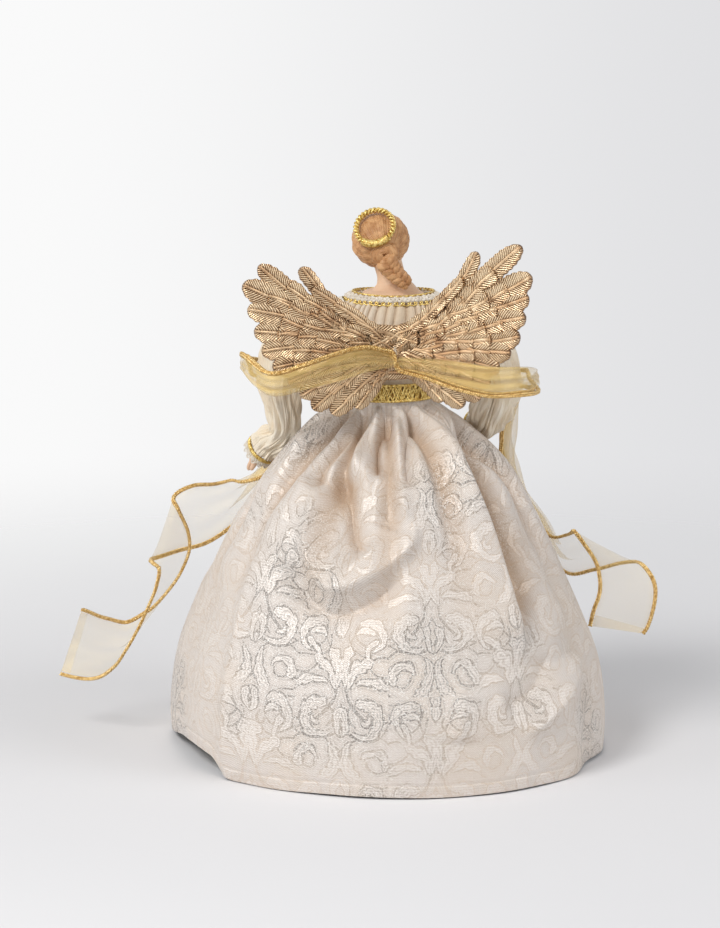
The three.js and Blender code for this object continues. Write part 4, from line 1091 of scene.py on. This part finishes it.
def feather(shape, root, tip, width, side, edge, rib, seed):
    """One feather: a vane of slanting barbs on both sides of a raised quill, closed underneath."""
    draw = np.random.default_rng(seed)
    root = np.array(root, float)
    along = np.array(tip, float) - root
    length = np.hypot(*along)
    across = np.array([-along[1], along[0]]) / length
    rows, cols = max(24, int(length / 0.5)), 22
    s = np.linspace(0, 1, rows)[:, None]
    w = np.linspace(-1, 1, cols)[None, :]
    tip_round = np.sqrt(np.clip(1 - (np.clip(s - 0.78, 0, 1) / 0.22) ** 2.4, 0, 1))
    ragged = 1 + 0.05 * sin(TURN * s * length / 3.7 + seed) * smooth(s, 0.3, 0.6) * np.sign(w)
    half = 0.5 * width * mix(0.6, 1.0, smooth(s, 0, 0.6)) * tip_round * ragged
    bow = draw.uniform(-0.03, 0.04) * length * sin(pi * s)
    plan = root + along * s[..., None] + across * (half * w + bow)[..., None]
    p, q = side * plan[..., 0], plan[..., 1]
    slant = s * length - barb_slant * abs(w) * half
    barbs = abs(sin(pi * slant / barb_pitch))
    quill = bump(w * half, 0, 0.6)
    groove = bump(abs(w * half), 1.0, 0.35)
    split = bump(slant, draw.uniform(0.5, 0.75) * length, 0.45) * (w * draw.choice([-1, 1]) > 0.3)
    height = edge + (rib - edge + 0.5) * (1 - abs(w) ** 1.5)
    height = height + 0.22 * (barbs - 0.6) * (1 - quill) * smooth(half, 0.4, 1.5)
    height = height + 0.25 * quill * (1 - 0.6 * s) - 0.3 * groove - 0.6 * split + 0.5 * smooth(s, 0.85, 1.0)
    height = height + 0.35 * ripple(plan[..., 0] / 3, q / 3, seed)
    # The painted value is partly the antique wash and partly painted shade: darker at splits, along the
    # vane's edges and towards the root under the row above.
    tone = 0.75 - 0.6 * split - 0.75 * bump(abs(w), 1, 0.14)
    tone = tone + 0.15 * ripple(plan[..., 0] / 4, q / 4, seed + 1)
    tone = tone * mix(0.35, 1, smooth(s, 0.2, 0.6))
    under = mix(-1.0, edge - 0.9, smooth(s, 0.75, 1.0)) + 0.2 * (barbs - 0.5)
    top, low = wing(p, q, height), wing(p, q, np.minimum(under, height - 0.25))
    own = join(half * w, s * length)
    own = np.concatenate([own, own[:, ::-1], own[:, :1]], 1)
    shell = np.concatenate([top, low[:, ::-1]], 1)
    shape.grid(shell, True, own, np.concatenate([tone, tone[:, ::-1]], 1))


wings = Shape()
for side in (1, -1):
    seed = 100 if side > 0 else 300
    roots = [np.array(root, float) for root, _, _, _ in primaries]
    tips = [np.array(tip, float) + (0 if side > 0 else np.array(shift)) for _, tip, _, shift in primaries]
    for root, tip, (_, _, width, _) in zip(roots, tips, primaries):
        seed += 1
        feather(wings, root, tip, width, side, 0.7, 1.3, seed)
    for row, (share, length, edge) in enumerate(covert_rows):
        for k in range(1, len(primaries) - 1):
            if row > 2 and (k + row) % 2:
                continue
            seed += 1
            place = share - 0.08 * (k % 2)
            end = mix(roots[k], tips[k], place)
            spacing = np.linalg.norm(mix(roots[k + 1], tips[k + 1], place) - end)
            width = min(max(1.45 * spacing, covert_narrow), covert_broad)
            out, up = unit(tips[k] - roots[k])
            tilt = radians(8) * sin(2.4 * seed)
            heading = np.array([out - tilt * up, up + tilt * out])
            feather(wings, end - length * heading, end, width, side, edge, edge + 0.3, seed)
    for root, tip, width in leading_edge:
        seed += 1
        feather(wings, root, tip, width, side, 2.5, 2.8, seed)
for number, (root, tip, width, edge) in enumerate(saddle):
    feather(wings, root, tip, width, 1, edge, edge + 0.5, 500 + number)
dress(wings.make("wing_feathers", resin), "gilt_resin", "wings")

# Ribbon. Sash: places on the wings' plan and the spread there. Falls: the middle line, the way across it and
# the spread
sash_stand_off = 4.7
sash = [
    (69, -11, 12),
    (56, -10, 14),
    (38, -7.5, 15),
    (20, -5.5, 15),
    (7, -7, 13),
    (0, -8, 12.5),
    (-7, -8.5, 13),
    (-20, -10, 13),
    (-40, -13, 14),
    (-58, -15.5, 15),
    (-72, -15, 14),
]
left_fall = [
    (161, -22, 46, -0.32, -0.05, 0.95, 38),
    (147, -20, 43, -0.2, -0.51, 0.84, 36),
    (136, -17, 45, -0.21, -0.83, 0.52, 36),
    (126, -15, 54, -0.34, -0.84, 0.42, 38),
    (118, -15, 65, -0.41, -0.83, 0.37, 38),
    (113, -15, 74, -0.46, -0.81, 0.37, 38),
    (108, -15, 87, -0.44, -0.83, 0.35, 38),
    (108, -15.5, 96, -0.37, -0.83, 0.41, 38),
    (112, -18, 102, -0.33, -0.68, 0.65, 38),
    (114, -27, 104, -0.3, -0.52, 0.8, 38),
    (103, -37.5, 107, -0.25, 0, 0.97, 38),
    (90, -42, 109, -0.17, 0.13, 0.98, 36),
    (80, -44, 114, 0, 0.4, 0.91, 33),
    (70, -46, 121, 0.3, 0.8, 0.5, 29),
    (58, -44, 134, 0.2, 0.97, -0.1, 24),
    (53, -37, 150, 0.05, 0.96, -0.27, 20),
    (53, -31, 166, 0, 0.93, -0.37, 17),
    (56, -23, 179, 0, 0.8, -0.6, 14),
    (63, -11, 188, 0, 0.4, -0.9, 13),
    (68, 3, 192, 0, 0.15, -1, 12),
    (68.5, 19, 195.5, 0, 0.15, -1, 11),
    (68, 34, 198.5, 0, 0, -1, 11),
]
right_fall = [
    (-70, 48, 194, 0, 0, -1, 13),
    (-70, 30, 191, 0, 0.15, -1, 12),
    (-69.5, 8, 187, 0, 0.15, -1, 12),
    (-66, -10, 183, 0, 0.4, -0.9, 13),
    (-62.5, -21, 177, 0, 0.65, -0.75, 14),
    (-61, -31, 167, 0, 0.88, -0.47, 16),
    (-60, -39, 153, 0, 0.9, -0.43, 18),
    (-60, -48, 137, 0, 0.9, -0.43, 21),
    (-67, -56, 118, -0.1, 0.98, 0, 25),
    (-78, -52, 101, 0.05, 0.85, 0.5, 28),
    (-89, -40, 88, 0.3, 0.48, 0.83, 31),
    (-99, -32, 91, 0.47, 0.5, 0.73, 34),
    (-106, -22, 95, 0.65, 0.48, 0.59, 38),
    (-111, -9, 98, 0.9, -0.1, 0.42, 38),
    (-116, -4, 93, 0.88, -0.38, 0.29, 38),
    (-120, -2, 86, 0.8, -0.57, 0.19, 38),
    (-121, 0, 78, 0.74, -0.66, 0.12, 38),
    (-120, 0, 70, 0.7, -0.7, 0.15, 38),
    (-118, -2, 63, 0.72, -0.69, 0.09, 38),
    (-116, -2, 57, 0.71, -0.71, -0.06, 38),
]
sash, left_fall, right_fall = (np.array(rows, float) for rows in (sash, left_fall, right_fall))
sash_at = wing(sash[:, 0], sash[:, 1], np.full(len(sash), sash_stand_off))
sash_across = np.tile(wing_turn @ np.array([0, 0, -1.0]), (len(sash), 1))
ribbon_at = np.vstack([left_fall[:, :3], sash_at, right_fall[:, :3]])
ribbon_across = unit(np.vstack([left_fall[:, 3:6], sash_across, right_fall[:, 3:6]]))
ribbon_spread = np.concatenate([left_fall[:, 6], sash[:, 2], right_fall[:, 6]])
ribbon_width, ribbon_cord = 38.0, 1.2
ribbon_rows, ribbon_columns, braid_steps = 1000, 36, 5200
ribbon_pleats = 2.5
braid_strands, braid_pitch, braid_swing, braid_rise, braid_thread = 3, 4.0, 0.68, 0.4, 0.47
cord_room = 2 * ribbon_cord + 0.4
# Places along the ribbon, counted in the points above
sash_start, sash_end = len(left_fall) - 1.5, len(left_fall) + len(sash) + 0.5
sash_knot = len(left_fall) + 5.0


def ribbon_surface(t, x):
    """Points of the ribbon at shares t along it and x across it, from -1 to 1, its spread and its run."""
    at = (t * (len(ribbon_at) - 1))[:, None]
    middle = spline(ribbon_at, t)
    across = unit(spline(ribbon_across, t))
    spread = glide(ribbon_spread, t)[:, None]
    run = run_along(middle)[:, None]
    normal = unit(np.cross(across, unit(np.gradient(middle, axis=0))))
    half = 0.5 * spread - cord_room
    slack = np.sqrt(np.clip((0.5 * ribbon_width - cord_room) ** 2 - half**2, 0, None))
    sway = x + 0.1 * sin(pi * x) * sin(run / 23)
    wave = 0.5 - 0.5 * cos(TURN * ribbon_pleats * (sway + 1) / 2)
    wave = wave * (1 + 0.25 * sin(run / 9) * sin(pi * x)) * (1 - x**8)
    flutter = 0.5 * ripple(run / 9, 3 * x, 77) * (1 - x**6)
    calm = 1 - 0.92 * (bump(at, sash_start - 0.7, 1.8) + bump(at, sash_end + 0.7, 1.8))
    flat_out = calm * (slack / ribbon_pleats * wave + flutter)
    doubled = band(at, sash_start - 1.5, sash_start, sash_end, sash_end + 1.5)
    upright = 1 - 2 * smooth(at, sash_knot - 0.9, sash_knot + 0.9)
    pinch = bump(at, sash_knot, 0.7)
    loose = half + 1.2 + 1.1 * ripple(run / 13, 0 * run, 63)
    fold_across = upright * loose * (1 - 2 * abs(x)) + upright * 0.9 * smooth(x, 0.3, 1) * (1 - pinch)
    fold_across = fold_across + 1.6 * pinch * x
    fold_out = 2.2 - 0.9 * x + 1.5 * sin(pi * abs(x)) * (0.7 + 0.4 * sin(run / 11 + 2 * x))
    crinkle = sin(TURN * 2.5 * abs(x) + run / 17) + 0.8 * ripple(run / 7, 7 * abs(x), 62)
    fold_out = fold_out + calm * (0.75 * crinkle * (1 - x**6) + 0.6 * flutter)
    side = mix(half * x, fold_across, doubled)[..., None]
    out = mix(flat_out, fold_out, doubled)[..., None]
    return middle[:, None] + across[:, None] * side + normal[:, None] * out, spread, run


x = np.linspace(-1, 1, ribbon_columns + 1)[None, :]
body, spread, run = ribbon_surface(np.linspace(0, 1, ribbon_rows + 1), x)
total = run[-1, 0]
end_hem = bump(np.minimum(run, total - run), 0, 5.0) > 0.45
bunched = np.clip(1 - spread / ribbon_width, 0, 1)
streaks = 0.5 * bunched * ripple(run / 16, 14 * abs(x), 61)
tone = 0.62 * bunched + streaks + 0.5 * end_hem + 0.25 * bump(abs(x), 1, 0.12)
cloth = join(np.append(x, x[:, -1:], 1) * 0.5 * ribbon_width, run)
ribbon = Shape().grid(body, False, cloth, np.clip(tone, 0, 1)).make("ribbon_organza", organza)
dress(ribbon, "organza", "ribbon")

for edge_name, share in (("upper", -1), ("lower", 1)):
    pair, _, _ = ribbon_surface(np.linspace(0, 1, braid_steps), np.array([[0.93 * share, share]]))
    outward = unit(pair[:, 1] - pair[:, 0])
    edge = pair[:, 1] + outward * (0.2 + ribbon_cord)
    heading = unit(np.gradient(edge, axis=0))
    out = unit(outward - heading * np.sum(outward * heading, 1, keepdims=True))
    lift_way = np.cross(heading, out)
    edge_run = run_along(edge)[:, None]
    strands = []
    for k in range(braid_strands):
        spin = TURN * (edge_run / braid_pitch + k / braid_strands)
        strands.append(edge + out * braid_swing * sin(spin) + lift_way * braid_rise * sin(2 * spin))
    name, node = f"ribbon_braid_{edge_name}", f"ribbon_cord_{edge_name}"
    braid = threads(name, strands, braid_thread, gilt_pale, "gilt_cord", node, closed=False, fine=1)

# Clear adhesive over the ribbon's pinch
dot_half_width, dot_half_height, dot_half_depth = 3.0, 2.6, 1.1
u, v = grid_uv(40, 20)
polar = pi * np.clip(v, 0.01, 0.99)
blob = 1 + 0.12 * ripple(2 * cos(TURN * u) + 3, 2 * sin(TURN * u) + polar, 9)
dot_p = dot_half_width * blob * sin(polar) * cos(TURN * u)
dot_q = -3.0 + dot_half_height * blob * cos(polar)
dot_h = sash_stand_off + 2.4 + dot_half_depth * sin(polar) * sin(TURN * u)
dot = Shape().grid(wing(dot_p, dot_q, dot_h), True).make("glue_bead", adhesive)
dress(dot, "adhesive", "glue_dot")

# Stage: a pale floor that fades into a pale sky, soft light from the upper left of the picture
floor_reach, floor_fade = 850.0, 120.0
u, v = grid_uv(72, 10)
disc = 1 + floor_reach * v
paper = Graph("floor_paper", Roughness=0.9, Specular_IOR_Level=0.1)
grain = paper.ramp(paper.noise(1.5), 0.3, 0.7)
paper.set(Base_Color=paper.blend(grain, (238, 238, 240), (242, 242, 244)))
far = paper.add("VectorMath", {0: paper.object()}, "Value", operation="LENGTH")
paper.set(Alpha=paper.ramp(far, 0.95 * floor_reach * MM, floor_fade * MM))
floor = Shape().grid(join(disc * cos(TURN * u), disc * sin(TURN * u), 0.0), True)
floor.make("floor", paper.material)


lamp_target = np.array([0, 0, 0.13])


def lamp(name, place, size, watts, tint=(1, 1, 1)):
    """A round lamp, turned to the angel's middle."""
    data = bpy.data.lights.new(name, "AREA")
    data.shape = "DISK"
    data.size = size
    data.energy = watts
    data.color = tint
    light = link(name, data)
    light.location = place
    x, y, z = lamp_target - place
    light.rotation_euler = (pi / 2 + atan2(z, hypot(x, y)), 0, atan2(-x, y))


lamp("key", (1.05, 1.4, 1.7), 0.8, 27, (1, 0.99, 0.98))
lamp("fill", (-1.9, 0.9, 1.1), 1.4, 15)
lamp("side", (1.8, 0.8, 0.4), 1.0, 6)

# Sky: near white where it is seen, lighter to the left in the picture, and weaker as a light
ambient = 0.48
sky = Graph("studio", True)
ray = sky.nodes.new("ShaderNodeLightPath").outputs
seen = sky.math("MAXIMUM", ray["Is Camera Ray"], ray["Is Glossy Ray"])
seen = sky.math("MAXIMUM", seen, ray["Is Transmission Ray"])
leftward = sky.add("SeparateXYZ", {0: sky.add("TexCoord", out="Generated")}, "X")
sky.set(Color=sky.blend(sky.ramp(leftward, -0.12, 0.1), (224, 224, 226), (250, 250, 250)))
sky.set(Strength=seen * (1 - ambient) + ambient)
bpy.context.scene.world = sky.material
bpy.context.scene.view_settings.view_transform = "Standard"
